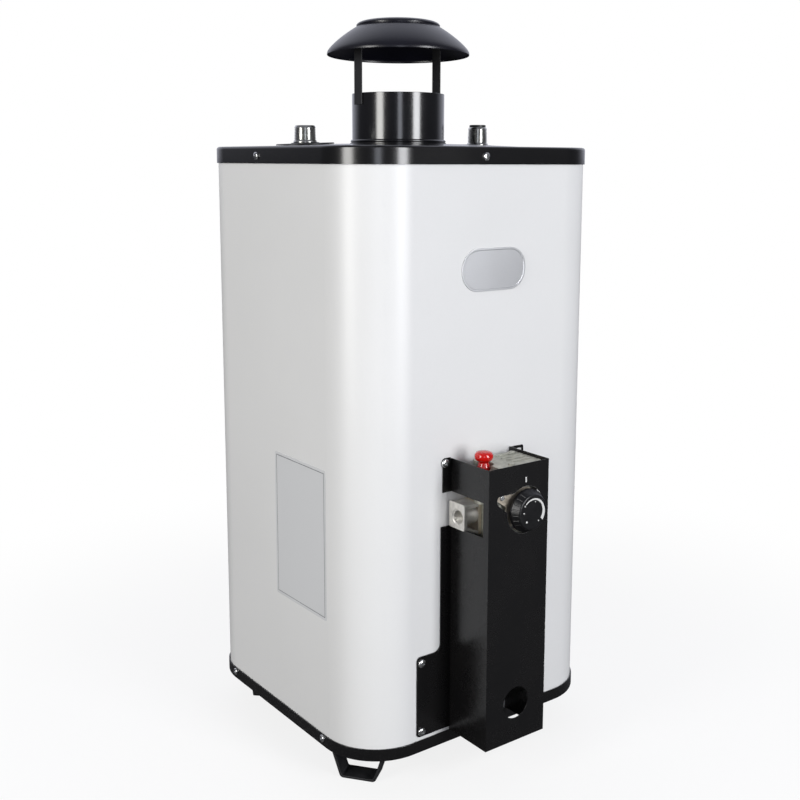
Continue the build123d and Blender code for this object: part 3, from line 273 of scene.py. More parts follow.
def plate(name, corners, face_y, thick, rounds=None, segments=6):
    """A flat plate across Y; corners are (x, z) in order, and rounds gives some of them a radius."""
    deselect()
    bpy.ops.mesh.primitive_circle_add(vertices=len(corners), fill_type="NGON")
    piece = settle(name)
    for vertex, (x, z) in zip(piece.data.vertices, corners):
        vertex.co = at(x, face_y, z)
    edit(piece)
    for (x, z), radius in (rounds or {}).items():
        pick(piece, "VERT", lambda middle, way: abs(middle.x - x) < 0.01 and abs(middle.z - z) < 0.01)
        bpy.ops.mesh.bevel(offset=radius / 1000, segments=segments, affect="VERTICES")
    bpy.ops.mesh.select_all(action="SELECT")
    bpy.ops.mesh.extrude_region_move(TRANSFORM_OT_translate={"value": (0, thick / 1000, 0)})
    bpy.ops.mesh.select_all(action="SELECT")
    bpy.ops.mesh.normals_make_consistent(inside=False)
    done()
    return piece


def rod(name, radius, start, end, segments=96):
    """A round bar between two points, used to bore holes."""
    deselect()
    run = at(*end) - at(*start)
    bpy.ops.mesh.primitive_cylinder_add(vertices=segments, radius=radius / 1000, depth=run.length,
                                        location=(at(*start) + at(*end)) / 2,
                                        rotation=run.to_track_quat("Z", "Y").to_euler())
    return settle(name)


def copied(name, mesh, place, turn=Matrix()):
    """Another of a piece that repeats, with a mesh of its own."""
    piece = bpy.data.objects.new(name, mesh.copy())
    bpy.context.scene.collection.objects.link(piece)
    return stand(piece, place, turn)


def refined(node, width=0.3, segments=2):
    """A node's own form, welded, with its flats made whole and its edges rounded."""
    piece = bpy.data.objects.new(node + "_part", nodes[node].data.copy())
    bpy.context.scene.collection.objects.link(piece)
    edit(piece)
    bpy.ops.mesh.select_all(action="SELECT")
    bpy.ops.mesh.remove_doubles(threshold=0.00001)
    bpy.ops.mesh.dissolve_limited(angle_limit=math.radians(0.4))
    done()
    if width:
        soften(piece, width, segments)
    return piece


# Finishes

def srgb(code):
    """A hex colour as linear red, green, blue and alpha."""
    parts = [int(code[k:k + 2], 16) / 255 for k in (0, 2, 4)]
    return [p / 12.92 if p < 0.04045 else ((p + 0.055) / 1.055) ** 2.4 for p in parts] + [1.0]


def add(tree, kind, settings=None, **inputs):
    """One node with its settings; an input is a value, or an output of another node to link."""
    node = tree.nodes.new(kind)
    for name, value in (settings or {}).items():
        setattr(node, name, value)
    for name, value in inputs.items():
        key = int(name[1:]) if name[0] == "i" and name[1:].isdigit() else name.replace("_", " ")
        socket = node.inputs[key]
        if isinstance(value, bpy.types.NodeSocket):
            tree.links.new(value, socket)
        else:
            socket.default_value = value
    return node


def material(name):
    """An empty node material and its tree."""
    made = bpy.data.materials.new(name)
    made.use_nodes = True
    made.node_tree.nodes.clear()
    return made, made.node_tree


# How much the fine grain adds to the slow patches, and the distance between slow waves in sheet metal
GRAIN_SHARE = 0.35
WAVE_LENGTH = 160


def look(name, dark, light, rough, metal=0.0, grain=1.0, deep=0.0, patch=40.0, wave=0.0, spread=0.06,
         stretch=(1, 1, 1), **shader):
    """A surface with a fine grain (mm across and deep), slow patches of tone and, in sheet, a slow wave."""
    made, tree = material(name)
    where = add(tree, "ShaderNodeTexCoord").outputs["Object"]
    drawn = add(tree, "ShaderNodeMapping", Vector=where, Scale=stretch).outputs[0]
    fine = add(tree, "ShaderNodeTexNoise", Vector=drawn, Scale=1000 / grain, Detail=3.0,
               Roughness=0.55).outputs[0]
    broad = add(tree, "ShaderNodeTexNoise", Vector=where, Scale=1000 / patch, Detail=4.0,
                Roughness=0.6).outputs[0]
    both = add(tree, "ShaderNodeMath", {"operation": "MULTIPLY_ADD"}, i0=fine, i1=GRAIN_SHARE,
               i2=broad).outputs[0]
    tone = add(tree, "ShaderNodeMapRange", Value=both, i1=0.42, i2=0.93).outputs[0]
    colour = add(tree, "ShaderNodeMix", {"data_type": "RGBA"}, i0=tone, i6=srgb(dark),
                 i7=srgb(light)).outputs[2]
    gloss = add(tree, "ShaderNodeMapRange", Value=both, i1=0.3, i2=1.05, i3=max(rough - spread, 0.02),
                i4=rough + spread).outputs[0]
    slow = add(tree, "ShaderNodeTexNoise", Vector=where, Scale=1000 / WAVE_LENGTH, Detail=1.0).outputs[0]
    bent = add(tree, "ShaderNodeBump", Height=slow, Distance=wave / 1000,
               Strength=1.0 if wave else 0.0).outputs[0]
    bump = add(tree, "ShaderNodeBump", Height=fine, Distance=deep / 1000, Strength=1.0 if deep else 0.0,
               Normal=bent).outputs[0]
    surface = add(tree, "ShaderNodeBsdfPrincipled", Base_Color=colour, Roughness=gloss, Metallic=metal,
                  Normal=bump, **shader)
    add(tree, "ShaderNodeOutputMaterial", Surface=surface.outputs[0])
    return made


# Baked white enamel paint on sheet steel: an even satin sheen with a faint orange peel and slow waves
jacket_paint = look("baked_white_paint", "DEDEDD", "E2E2E1", 0.37, grain=2.2, deep=0.006, patch=260,
                    wave=0.05, spread=0.03)
# Black powder coat, semi-gloss: a soft lit sheen and a fine pebbled skin
black_paint = look("black_powder_coat", "0B0B0C", "100F0F", 0.21, grain=1.1, deep=0.008, patch=70,
                   wave=0.02, spread=0.03, Specular_IOR_Level=0.7)
# The same powder coat on the valve cover, a little duller, so what it mirrors is blurred
cover_paint = look("black_powder_coat_satin", "0B0B0C", "100F0F", 0.27, grain=1.1, deep=0.008, patch=70,
                   wave=0.02, spread=0.03)
# Black powder coat on the spun hat, a little duller and bluer
hat_paint = look("satin_black_powder_coat", "0B0B13", "10101A", 0.29, grain=1.1, deep=0.01, patch=60,
                 spread=0.04)
# Black vitreous enamel on the flue collar: wet-looking gloss with crisp bands of light
collar_enamel = look("black_vitreous_enamel", "08080A", "0C0C0F", 0.17, grain=6, deep=0.01, patch=30,
                     spread=0.03, Specular_IOR_Level=0.85)
# Matt black paint on the hat's straps: no clear highlight
matt_paint = look("matt_black_paint", "121214", "1B1B1D", 0.62, grain=0.9, deep=0.01, patch=25)
# Dark dipped coating on the strap feet, with grey rubbed patches
foot_coat = look("dipped_black_coating", "131315", "2A2A2C", 0.46, grain=0.8, deep=0.02, patch=14,
                 spread=0.1)
# Bright zinc plating on screws: clear silver with small spangles
zinc_plate = look("bright_zinc_plate", "B9BABC", "E6E6E4", 0.24, 1.0, grain=0.5, deep=0.004, patch=3,
                  spread=0.08)
# Bare worn steel along the cut edge of the cover's dial hole: a thin bright line
bare_steel = look("bare_worn_steel", "9A9A98", "C8C8C4", 0.3, 1.0, grain=0.5, deep=0.01, patch=6,
                  spread=0.1)
# Turned and threaded pipe steel: silver with fine turning lines round it
pipe_steel = look("turned_pipe_steel", "A9A9A7", "DADAD6", 0.22, 1.0, grain=0.5, deep=0.008, patch=5,
                  stretch=(1, 1, 9), spread=0.08)
# Glass-lined tank steel: a dark blue-grey fired glaze with speckle
tank_glaze = look("glass_lined_steel", "2B3240", "46505F", 0.3, grain=1.5, deep=0.02, patch=20)
# Aluminised sheet steel: pale, slightly milky metal with mottling
dull_sheet = look("aluminised_sheet", "8C8C88", "B4B4AF", 0.42, 1.0, grain=0.7, deep=0.01, patch=9,
                  spread=0.1)
# Die-cast zinc alloy, as cast: grey with a grainy skin and dull and bright flow marks
cast_zinc = look("as_cast_zinc_alloy", "8E8E85", "C6C6BB", 0.42, 0.7, grain=0.7, deep=0.05, patch=7,
                 spread=0.12)
# The same alloy on the gas inlet, painted warmer and lighter: a lit copy whose painted light stands in for
# the light on its face
inlet_alloy_painted_lit = look("zinc_alloy_painted_lighter", "C2C0BB", "E6E3DC", 0.4, 0.6, grain=0.5, deep=0.04, patch=6,
                  spread=0.1)
# Yellow-passivated plate: warm silver-beige with fine rolling lines
rolled_plate = look("passivated_steel_plate", "C6BBA9", "EDE2D0", 0.36, 0.8, grain=0.4, deep=0.008,
                    patch=8, stretch=(1, 1, 14), spread=0.1)
# Drawn aluminium tube: soft silver with lines along it
drawn_tube = look("drawn_aluminium", "B0B0B0", "D2D2D2", 0.32, 1.0, grain=0.5, deep=0.006, patch=12,
                  stretch=(9, 9, 1))
# Copper capillary, browned by handling
copper_line = look("browned_copper", "8A4A2C", "C2774E", 0.34, 1.0, grain=0.6, deep=0.006, patch=9,
                   spread=0.1)
# Machined brass with a thin tarnish
turned_brass = look("turned_brass", "A4803C", "D3B368", 0.28, 1.0, grain=0.4, deep=0.006, patch=8,
                    spread=0.1)
# Extruded magnesium rod, greyed by oxide
grey_magnesium = look("oxidised_magnesium", "80807C", "A9A9A4", 0.5, 0.9, grain=0.6, deep=0.02, patch=12)
# Mineral wool blanket: yellow fibres with deep soft pits
mineral_wool = look("mineral_wool", "A38F4C", "DCCB86", 0.95, grain=3.0, deep=0.9, patch=18,
                    Sheen_Weight=0.4)
# Phenolic dial: moulded black with a satin skin
dial_plastic = look("moulded_black_phenolic", "08080A", "0F0F11", 0.32, grain=0.6, deep=0.008, patch=12,
                    spread=0.06)
# Glossy red moulded ABS button
red_plastic = look("glossy_red_abs", "B4100C", "C51610", 0.16, grain=1.5, deep=0.004, patch=9,
                   spread=0.03, Coat_Weight=0.4, Coat_Roughness=0.06)
# Black nylon discs round the nipples, satin with flow marks
black_nylon = look("black_nylon", "0C0C0E", "151517", 0.4, grain=0.9, deep=0.01, patch=18)
# Dark polypropylene lip of the dip tube
liner_plastic = look("dark_polypropylene", "141414", "1E1E1E", 0.35, grain=0.8, deep=0.01, patch=8)
# Off-white moulded plastic on the drain cock and its ring
white_plastic = look("off_white_polypropylene", "C9C8C2", "D8D7D1", 0.4, grain=0.9, deep=0.012, patch=15)
# Brushed aluminium badge plate, lines along its length
brushed_badge = look("brushed_aluminium", "CFD0D2", "DCDDDF", 0.44, 1.0, grain=0.4, deep=0.004,
                     patch=400, stretch=(0.03, 1, 1), spread=0.05)
# White pad-printing ink on the dial
white_ink = look("white_ink", "C9C9C6", "DDDDDA", 0.5, grain=0.3, deep=0.004, patch=3)
# Plain vinyl sticker, a shade cooler and glossier than the paint
vinyl = look("white_vinyl", "D3D4D5", "D6D7D8", 0.26, grain=1.5, deep=0.002, patch=400, spread=0.01)
# Grey ink line round the sticker
grey_ink = look("grey_ink", "5C5E62", "6C6E72", 0.45, grain=0.4, deep=0.003, patch=6)
# Mica pane: thin, clear and faintly brown
mica = look("mica", "CFC6A6", "E4DCC0", 0.08, grain=3, deep=0.02, patch=8, Transmission_Weight=0.85,
            IOR=1.56)

LOOKS = {
    "jacket_paint": jacket_paint, "black_paint": black_paint, "black_enamel": collar_enamel,
    "matt_black": matt_paint, "foot_steel": foot_coat, "zinc_steel": zinc_plate, "pipe_steel": pipe_steel,
    "tank_steel": tank_glaze, "sheet_steel": dull_sheet, "die_cast": cast_zinc, "plate_steel": rolled_plate,
    "aluminium_tube": drawn_tube, "copper_line": copper_line, "brass": turned_brass,
    "magnesium": grey_magnesium, "foam": mineral_wool, "dial_plastic": dial_plastic,
    "red_plastic": red_plastic, "disc_plastic": black_nylon, "white_plastic": white_plastic,
    "liner_plastic": liner_plastic, "drain_plastic": white_plastic, "mica": mica,
}
for part in frame["record"]["subparts"]:
    node = nodes[part["node"]]
    node.data.materials.clear()
    node.data.materials.append(LOOKS[part["material_slot"]])


def finish(piece, surface, slot, *replaced, body="heater", smooth=35):
    """Gives a piece its shading, its material and its place in the assembly."""
    only(piece)
    bpy.ops.object.shade_smooth_by_angle(angle=math.radians(smooth))
    modify(piece, "WEIGHTED_NORMAL", keep_sharp=True)
    piece.data.materials.clear()
    piece.data.materials.append(surface)
    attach(piece, body)
    if replaced:
        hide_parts(*replaced)


# Jacket: a square sleeve open at both ends, with holes for the burner door, the valve and the drain cock
UP, DOWN, BACK = (0, 0, 1), (0, 0, -1), (0, 1, 0)
DOOR_X, DOOR_Z = (-66, 38), (TRAY + 24, TRAY + 112)
DRAIN_Z = TRAY + 148
jacket = rounded_block("jacket_shell", JACKET_HALF, (JACKET_LOW[2], JACKET_HIGH[2]), JACKET_CORNER)
open_ends(jacket, UP, DOWN)
thicken(jacket, JACKET_SHEET)
cut(jacket, block("door_hole", DOOR_X, (-200, -170), DOOR_Z))
cut(jacket, rod("valve_hole", 18, (DIAL_X, -200, DIAL_Z), (DIAL_X, -170, DIAL_Z)))
cut(jacket, rod("drain_hole", 11, (170, 0, DRAIN_Z), (200, 0, DRAIN_Z)))
finish(jacket, jacket_paint, "jacket_paint", "jacket")

# Folded seam down the jacket's back
seam = block("jacket_seam", (118, 131), (JACKET_HALF - 0.2, JACKET_HALF + 0.9), (TRAY + 15, CAP - 21))
edit(seam)
pick(seam, "EDGE", lambda middle, way: abs(way.z) > 0.9 and middle.y > JACKET_HALF)
bpy.ops.mesh.bevel(offset=0.9 / 1000, segments=3, affect="EDGES")
done()
finish(seam, jacket_paint, "jacket_paint")

# Top cap: a shallow pan, rounded round its top edge, with a dome that rises 5 over a reach of 175
DOME_REACH = 175.0
DOME_RISE = 5.0
COLLAR_HOLE = 59.2
cap = rounded_block("cap_pan", PAN_HALF, (CAP - CAP_SKIRT, CAP), PAN_CORNER)
edit(cap)
pick(cap, "EDGE", lambda middle, way: abs(middle.z - CAP) < 0.01)
bpy.ops.mesh.bevel(offset=3.5 / 1000, segments=5, affect="EDGES")
done()
open_ends(cap, UP, DOWN)
dome = ring_sheet("cap_dome", CAP, [
    (radius, DOME_RISE * (1 - (radius / DOME_REACH) ** 2))
    for radius in (DOME_REACH, 171, 160, 140, 115, 90, 70, COLLAR_HOLE)], segments=128)
fill_rim(cap, dome, CAP)
thicken(cap, PAN_SHEET)
finish(cap, black_paint, "black_paint", "top_cap", smooth=30)

# Bottom tray: a pan with a round air opening in its floor
AIR_RADIUS = 118.0
tray = rounded_block("tray_pan", PAN_HALF, (TRAY, TRAY_RIM), PAN_CORNER)
open_ends(tray, UP, DOWN)
air = ring_sheet("air_opening", TRAY, [(AIR_RADIUS, 0), (AIR_RADIUS * 1.03, 0)], segments=96)
fill_rim(tray, air, TRAY, inner=AIR_RADIUS + 1)
thicken(tray, PAN_SHEET)
soften(tray, 0.5, angle=50)
finish(tray, black_paint, "black_paint", "bottom_tray", smooth=30)

# Flue collar: a plain pipe with a narrow flange and a rolled bead where it meets the cap; heights are
# from the cap
BEAD = 4.49
collar = lathe("flue_collar_pipe", [
    (57.5, -36), (58.7, -36), (58.7, BEAD), (61.3, BEAD), (61.5, BEAD + 0.5), (61.3, BEAD + 1.1),
    (59.9, BEAD + 1.5), (60.5, BEAD + 2.1), (60.8, BEAD + 2.9), (60.7, BEAD + 3.7), (60.2, BEAD + 4.4),
    (59.5, BEAD + 4.9), (58.7, BEAD + 5.2), (58.7, 66.2), (58.5, 66.6), (58.1, 66.7), (57.7, 66.6),
    (57.5, 66.2)], hollow=True, segments=128)
finish(stand(collar, (0, 0, CAP)), collar_enamel, "black_enamel", "flue_collar", smooth=50)

# Rain hat: a spun cone with a rolled rim and a raised crown; it leans a little, as in the photograph
HAT_RAISED = HAT + 2.1
HAT_LEAN = Matrix.Rotation(math.radians(1.27), 4, Vector((-0.809, 0.588, 0.0)))
CROWN_CENTRE = 1.0
hat_rim = [(88.8, -0.9), (89.2, -1.2), (89.8, -1.1), (90.0, -0.7), (90.0, 0.9)]
hat_cone = [(89.6, 2.4), (88.7, 4.2), (86.6, 7.0), (83.2, 10.6), (79.0, 14.5), (74.4, 18.4), (69.5, 22.2),
            (64.8, 25.6), (59.9, 28.9), (56.5, 31.1), (54.6, 32.2), (53.3, 32.8), (52.5, 33.3)]
hat_crown = [(52.3, 33.8), (52.6, 34.4), (52.9, 35.2), (52.7, 36.1), (51.9, 37.1), (50.5, 38.1),
             (48.4, 39.0), (45.5, 39.7), (41.0, 40.3), (30.0, 40.8), (CROWN_CENTRE, 41.1)]
hat_inside = [(CROWN_CENTRE, 39.9), (30.0, 39.6), (40.8, 39.1), (45.0, 38.5), (47.6, 37.8), (49.4, 37.0),
              (50.8, 36.0), (51.5, 35.0), (51.1, 33.8), (51.6, 32.4), (53.8, 31.3), (59.1, 27.8),
              (68.7, 21.1), (78.1, 13.5), (82.3, 9.6), (85.6, 6.2), (87.6, 3.5), (88.5, 1.8), (88.8, 0.8)]
hat = lathe("rain_hat_shell", hat_rim + hat_cone + hat_crown + hat_inside, hollow=True, segments=160)
edit(hat)
pick(hat, "FACE", lambda middle, way: math.hypot(middle.x, middle.y) < CROWN_CENTRE + 0.02 and
     abs(way.z) < 0.5, ORIGIN)
bpy.ops.mesh.delete(type="FACE")
bpy.ops.mesh.select_all(action="SELECT")
bpy.ops.mesh.fill_holes(sides=0)
bpy.ops.mesh.normals_make_consistent(inside=False)
done()
finish(stand(hat, (0, 0, HAT_RAISED), HAT_LEAN), hat_paint, "black_paint", "rain_hat", smooth=50)

# Hat straps: the node's own form, drawn up to meet the leaning hat
STRAP_END = 885
for side, longer in (("left", 3.9), ("right", 2.4)):
    strap = refined("hat_strap_" + side, 0.35)
    edit(strap)
    pick(strap, "VERT", lambda middle, way: middle.z > STRAP_END)
    bpy.ops.transform.translate(value=(0, 0, longer / 1000))
    done()
    finish(strap, matt_paint, "matt_black", "hat_strap_" + side)

# Pipe threads: 14 to the inch
PITCH = 1.81


def threaded_rings(start, end, crest, taper, depth):
    """Rings of a pipe thread that narrows towards its end."""
    rings = []
    z = start
    while z + PITCH < end:
        radius = crest - taper * (z - start)
        rings += [(radius - depth, z), (radius - depth, z + 0.2 * PITCH), (radius, z + 0.55 * PITCH),
                  (radius, z + 0.7 * PITCH)]
        z += PITCH
    return rings


# Water nipples: pipe with a ridge at its foot and a thread above; heights are from the cap
NIPPLE_BORE = 10.45
NIPPLE_RADIUS = 13.3
for word in ("hot", "cold"):
    x, y = middle_of(word + "_nipple")[:2]
    top = corners_of(word + "_nipple")[1][2] - CAP
    foot_rings = [(NIPPLE_BORE, -70), (NIPPLE_RADIUS, -70), (NIPPLE_RADIUS, 4.0), (14.2, 4.5), (14.33, 5.0),
                  (14.2, 5.5), (NIPPLE_RADIUS, 7.6)]
    end_rings = [(12.1, top - 1.1), (11.6, top - 0.2), (11.3, top), (10.7, top), (NIPPLE_BORE, top - 0.3)]
    thread = threaded_rings(8.2, top - 1.2, NIPPLE_RADIUS, 0.035, 0.95)
    nipple = lathe(word + "_nipple_pipe", foot_rings + thread + end_rings, hollow=True, segments=72)
    finish(stand(nipple, (x, y, CAP)), pipe_steel, "pipe_steel", word + "_nipple", smooth=30)
    # Nylon disc round the nipple, lying on the slope of the dome
    disc = lathe(word + "_disc", [
        (14.8, 0), (35.2, 0), (35.2, 0.7), (34.9, 1.2), (34.3, 1.5), (18.6, 1.5), (17.6, 1.6), (17.1, 1.9),
        (16.7, 2.3), (16.1, 2.5), (15.2, 2.5), (14.8, 2.2)], hollow=True)
    slope = Matrix.Rotation(math.copysign(math.radians(2.54), x), 4, "Y")
    finish(stand(disc, (x, y, CAP + 2.23), slope), black_nylon, "disc_plastic", word + "_escutcheon")

# Dip tube: a long tube whose flared lip lies on the cold nipple's mouth; heights are from the cap
SEAT = 28.3
TUBE_LENGTH = 575.3
x, y = middle_of("cold_nipple")[:2]
liner = lathe("dip_tube_pipe", [
    (8.2, SEAT - TUBE_LENGTH), (9.8, SEAT - TUBE_LENGTH), (9.8, SEAT), (10.75, SEAT), (10.95, SEAT + 0.4),
    (10.95, SEAT + 2.3), (10.7, SEAT + 2.8), (10.2, SEAT + 3.0), (8.9, SEAT + 3.0), (8.4, SEAT + 2.8),
    (8.2, SEAT + 2.3)], hollow=True, segments=64)
finish(stand(liner, (x, y, CAP)), liner_plastic, "liner_plastic", "dip_tube")

# Pan-head screws: one is turned and given its cross recess, then copied to every place
screw = lathe("pan_screw", [
    (1.6, -8), (2.1, -7.2), (2.1, 0), (4.5, 0), (4.6, 0.3), (4.6, 0.8), (4.45, 1.35), (4.1, 1.85),
    (3.5, 2.25), (2.7, 2.48), (1.7, 2.58), (0.6, 2.6)], segments=32)
CROSS_LONG, CROSS_WIDE, CROSS_TALL, CROSS_Z = 4.4, 0.85, 2.2, 2.3
for length, width in ((CROSS_LONG, CROSS_WIDE), (CROSS_WIDE, CROSS_LONG)):
    deselect()
    bpy.ops.mesh.primitive_cube_add(size=1, location=(0, 0, CROSS_Z / 1000),
                                    scale=(length / 1000, width / 1000, CROSS_TALL / 1000))
    cut(screw, settle("cross"))
soften(screw, 0.12, 1, 40)
screw_mesh = screw.data.copy()
bpy.data.objects.remove(screw)

ON_PAN = PAN_HALF + 0.05
ON_FLANGE = FLANGE_FACE - 0.05
CAP_SCREW_Z, TRAY_SCREW_Z = TRAY + 701.5, TRAY + 9.5
COVER_SCREW_SIZE = 1.13
groups = {
    "cap_screws": [((-ON_PAN, 29.04, CAP_SCREW_Z), TO_LEFT, 1), ((ON_PAN, 29.04, CAP_SCREW_Z), TO_RIGHT, 1),
                   ((-13.2, -ON_PAN, CAP_SCREW_Z), TO_FRONT, 1), ((-13.2, ON_PAN, CAP_SCREW_Z), TO_BACK, 1)],
    "tray_screws": [((side * ON_PAN, y, TRAY_SCREW_Z), TO_LEFT if side < 0 else TO_RIGHT, 1)
                    for y in (-107, 113) for side in (-1, 1)]
                   + [((x, ON_PAN, TRAY_SCREW_Z), TO_BACK, 1) for x in (-100, 100)],
    "shroud_screws": [((-69.4, ON_FLANGE, TRAY + 349.2), TO_FRONT, COVER_SCREW_SIZE)]
                     + [((x, ON_FLANGE, TRAY + z), TO_FRONT, COVER_SCREW_SIZE)
                        for x in (-102.3, 74.3) for z in (111.5, 25.5)],
}
for node, spots in groups.items():
    made = []
    for number, (place, turn, size) in enumerate(spots):
        twist = Matrix.Rotation(0.5 + 0.8 * number, 4, "Z") @ Matrix.Diagonal((size, size, 1, 1))
        made.append(copied(node + "_set", screw_mesh, place, turn @ twist))
    finish(join(*made), zinc_plate, "zinc_steel", node, smooth=40)

# Folded valve cover: a box open at its back and ends, with a notch, a dial hole, a slot and a peephole
COVER_SHEET = 1.2
FLANGE_WIDE = 49.5
COVER_LEFT = corners_of("valve_shroud")[0][0] + FLANGE_WIDE
COVER_RIGHT = corners_of("valve_shroud")[1][0] - FLANGE_WIDE
COVER_FRONT = corners_of("valve_shroud")[0][1]
COVER_Z = (TRAY + 14.9, TRAY + 353.8)
NOTCH_Z = (TRAY + 273, TRAY + 314)
BEFORE_COVER = COVER_FRONT - 5.7
THROUGH_COVER = COVER_FRONT + 6.3
cover = block("valve_cover", (COVER_LEFT, COVER_RIGHT), (COVER_FRONT, FLANGE_FACE + COVER_SHEET), COVER_Z)
open_ends(cover, UP, DOWN, BACK)
thicken(cover, COVER_SHEET)
cut(cover, block("notch", (COVER_LEFT - 5, COVER_RIGHT + 5), (-246.5, -180), NOTCH_Z))
cut(cover, rod("dial_hole", 28.2, (DIAL_X, BEFORE_COVER, DIAL_Z), (DIAL_X, THROUGH_COVER, DIAL_Z)))
slot_end, slot_chamfer = (-47.5, TRAY + 321), (-47.5, TRAY + 311.9)
slot_outline = [(-15, TRAY + 321), slot_end, slot_chamfer, (-31.5, TRAY + 299), (-15, TRAY + 299)]
cut(cover, plate("slot", slot_outline, BEFORE_COVER, 12, {slot_end: 4.5, slot_chamfer: 3.2}))

# The worn bright edge of the dial hole, a thin skin lifted off the hole's wall
edit(cover)
pick(cover, "FACE", lambda middle, way: COVER_FRONT < middle.y < COVER_FRONT + COVER_SHEET and
     abs(way.y) < 0.3 and COVER_LEFT + 2 < middle.x < COVER_RIGHT - 2 and
     TRAY + 260 < middle.z < TRAY + 340)
bpy.ops.mesh.duplicate()
bpy.ops.mesh.separate(type="SELECTED")
done()
hole_edge = next(piece for piece in bpy.context.selected_objects if piece != cover)
hole_edge.name = "bare_hole_edge"
thicken(hole_edge, 0.22, side=1)
finish(hole_edge, bare_steel, "zinc_steel")
cut(cover, rod("peephole", 19.3, (-13.9, BEFORE_COVER, TRAY + 63.3), (-13.9, THROUGH_COVER, TRAY + 63.3)))


def flange(name, side):
    """The lower flange on the jacket, a strip that widens to a plate at its foot; side is -1 or +1."""
    wall = COVER_LEFT if side < 0 else COVER_RIGHT
    inner, narrow, wide = wall - side * 1.1, wall + side * 15, wall + side * FLANGE_WIDE
    step, foot = TRAY + 120, TRAY + 19
    corners = [(inner, NOTCH_Z[0]), (narrow, NOTCH_Z[0]), (narrow, step), (wide, step), (wide, foot),
               (inner, foot)]
    return plate(name, corners, FLANGE_FACE, COVER_SHEET, {corners[2]: 9, corners[3]: 5, corners[4]: 5})


# Ears at the cover's top: the left one is screwed on, the right one has a long hole
left_ear = [(COVER_LEFT + 1.1, TRAY + 353.8), (COVER_LEFT - 1.2, TRAY + 353.8),
            (COVER_LEFT - 1.2, TRAY + 355.3), (COVER_LEFT - 12.8, TRAY + 355.3),
            (COVER_LEFT - 12.8, NOTCH_Z[1]), (COVER_LEFT + 1.1, NOTCH_Z[1])]
right_ear = [(COVER_RIGHT - 1.1, TRAY + 353.3), (COVER_RIGHT + 21.2, TRAY + 353.3),
             (COVER_RIGHT + 21.2, NOTCH_Z[1]), (COVER_RIGHT - 1.1, NOTCH_Z[1])]
ears = join(plate("left_ear", left_ear, FLANGE_FACE, COVER_SHEET, {left_ear[3]: 2.5}),
            plate("right_ear", right_ear, FLANGE_FACE, COVER_SHEET, {right_ear[1]: 2.5}))
ear_hole = [(40.7, TRAY + 346.2), (50.3, TRAY + 346.2), (50.3, TRAY + 350), (40.7, TRAY + 350)]
cut(ears, plate("ear_hole", ear_hole, FLANGE_FACE - 6, 12, {corner: 1.85 for corner in ear_hole}))
join(cover, ears, flange("left_flange", -1), flange("right_flange", 1))
soften(cover, 0.28, 2, 40)
finish(cover, cover_paint, "black_paint", "valve_shroud", smooth=40)

# White tick on the cover above the dial
INK_LIFT = 0.15
tick = plate("pointer_tick", [(-4.9, TRAY + 337.4), (-2.7, TRAY + 337.4), (-3.1, TRAY + 331.0),
                              (-4.5, TRAY + 331.0)], COVER_FRONT - 0.1, INK_LIFT)
finish(tick, white_ink, "white_plastic")

# Thermostat dial: a skirt under a cone, with every fourth facet of the cone pressed in as grip
DIAL_FACETS = 96
DIAL_RISE = 12.22
dial = lathe("thermostat_dial", [
    (12, -5.3), (12, 0), (25.1, 0), (25.6, 0.3), (25.7, 0.8), (25.7, 2.8), (25.4, 3.5), (25.0, 4.1),
    (21.5, 10.6), (21.0, 11.5), (20.4, 12.0), (19.7, 12.2), (18.6, DIAL_RISE), (2.0, DIAL_RISE)],
    segments=DIAL_FACETS)
edit(dial)
pick(dial, "FACE", lambda middle, way: 4.2 < middle.z < 10.4 and
     round(math.degrees(math.atan2(middle.y, middle.x)) * DIAL_FACETS / 360 - 0.5) % 4 == 0, ORIGIN)
bpy.ops.mesh.inset(thickness=0.2 / 1000, depth=-0.25 / 1000, use_individual=True)
done()
soften(dial, 0.15, 2, 40)
finish(stand(dial, (DIAL_X, DIAL_Y, DIAL_Z), TO_FRONT), dial_plastic, "dial_plastic", "dial_knob",
       body="dial")


def around(radius, angle):
    """A point on the dial's face, seen from the front."""
    return (DIAL_X + radius * math.cos(math.radians(angle)), DIAL_Z + radius * math.sin(math.radians(angle)))


# Marks printed on the dial: a band that widens from cool to hot, and plain dots
MARK_FACE = DIAL_Y - DIAL_RISE - 0.13
steps = [k / 36 for k in range(37)]
band_outside = [around(16.5 + 1.9 * t ** 1.8, 138 - 176 * t) for t in steps]
band_inside = [around(15.1 - 1.3 * t ** 1.5, 136 - 171 * t) for t in steps]
marks = [plate("heat_wedge", band_outside + band_inside[::-1], MARK_FACE, INK_LIFT)]
for radius, angle, size in ((16, 144, 0.9), (14.5, 175, 0.9), (14.1, 224, 1.3), (13.8, -53, 0.9),
                            (12.7, 78, 0.6)):
    x, z = around(radius, angle)
    round_dot = [(x + size * math.cos(k * math.pi / 8), z + size * math.sin(k * math.pi / 8))
                 for k in range(16)]
    marks.append(plate("dot", round_dot, MARK_FACE, INK_LIFT))
finish(join(*marks), white_ink, "white_plastic", body="dial")

# Pilot button: a mushroom head on a waisted neck, bored from below for its spring
BUTTON_X, BUTTON_Y = middle_of("pilot_button")[:2]
BUTTON_FOOT = corners_of("pilot_button")[0][2]
button = lathe("pilot_button_cap", [
    (5.2, 5.7), (5.2, 0.2), (5.4, 0.0), (7.6, 0.0), (8.0, 0.4), (8.0, 7.8), (7.7, 9.4), (7.0, 11.2),
    (6.2, 13.0), (5.7, 14.2), (5.9, 15.0), (7.3, 16.1), (9.2, 17.3), (10.2, 18.6), (10.75, 20.2),
    (10.9, 21.8), (10.75, 23.3), (10.2, 24.8), (9.3, 26.0), (8.0, 26.9), (6.2, 27.5), (3.6, 27.85),
    (1.0, 27.95)])
finish(stand(button, (BUTTON_X, BUTTON_Y, BUTTON_FOOT)), red_plastic, "red_plastic", "pilot_button",
       body="button", smooth=60)

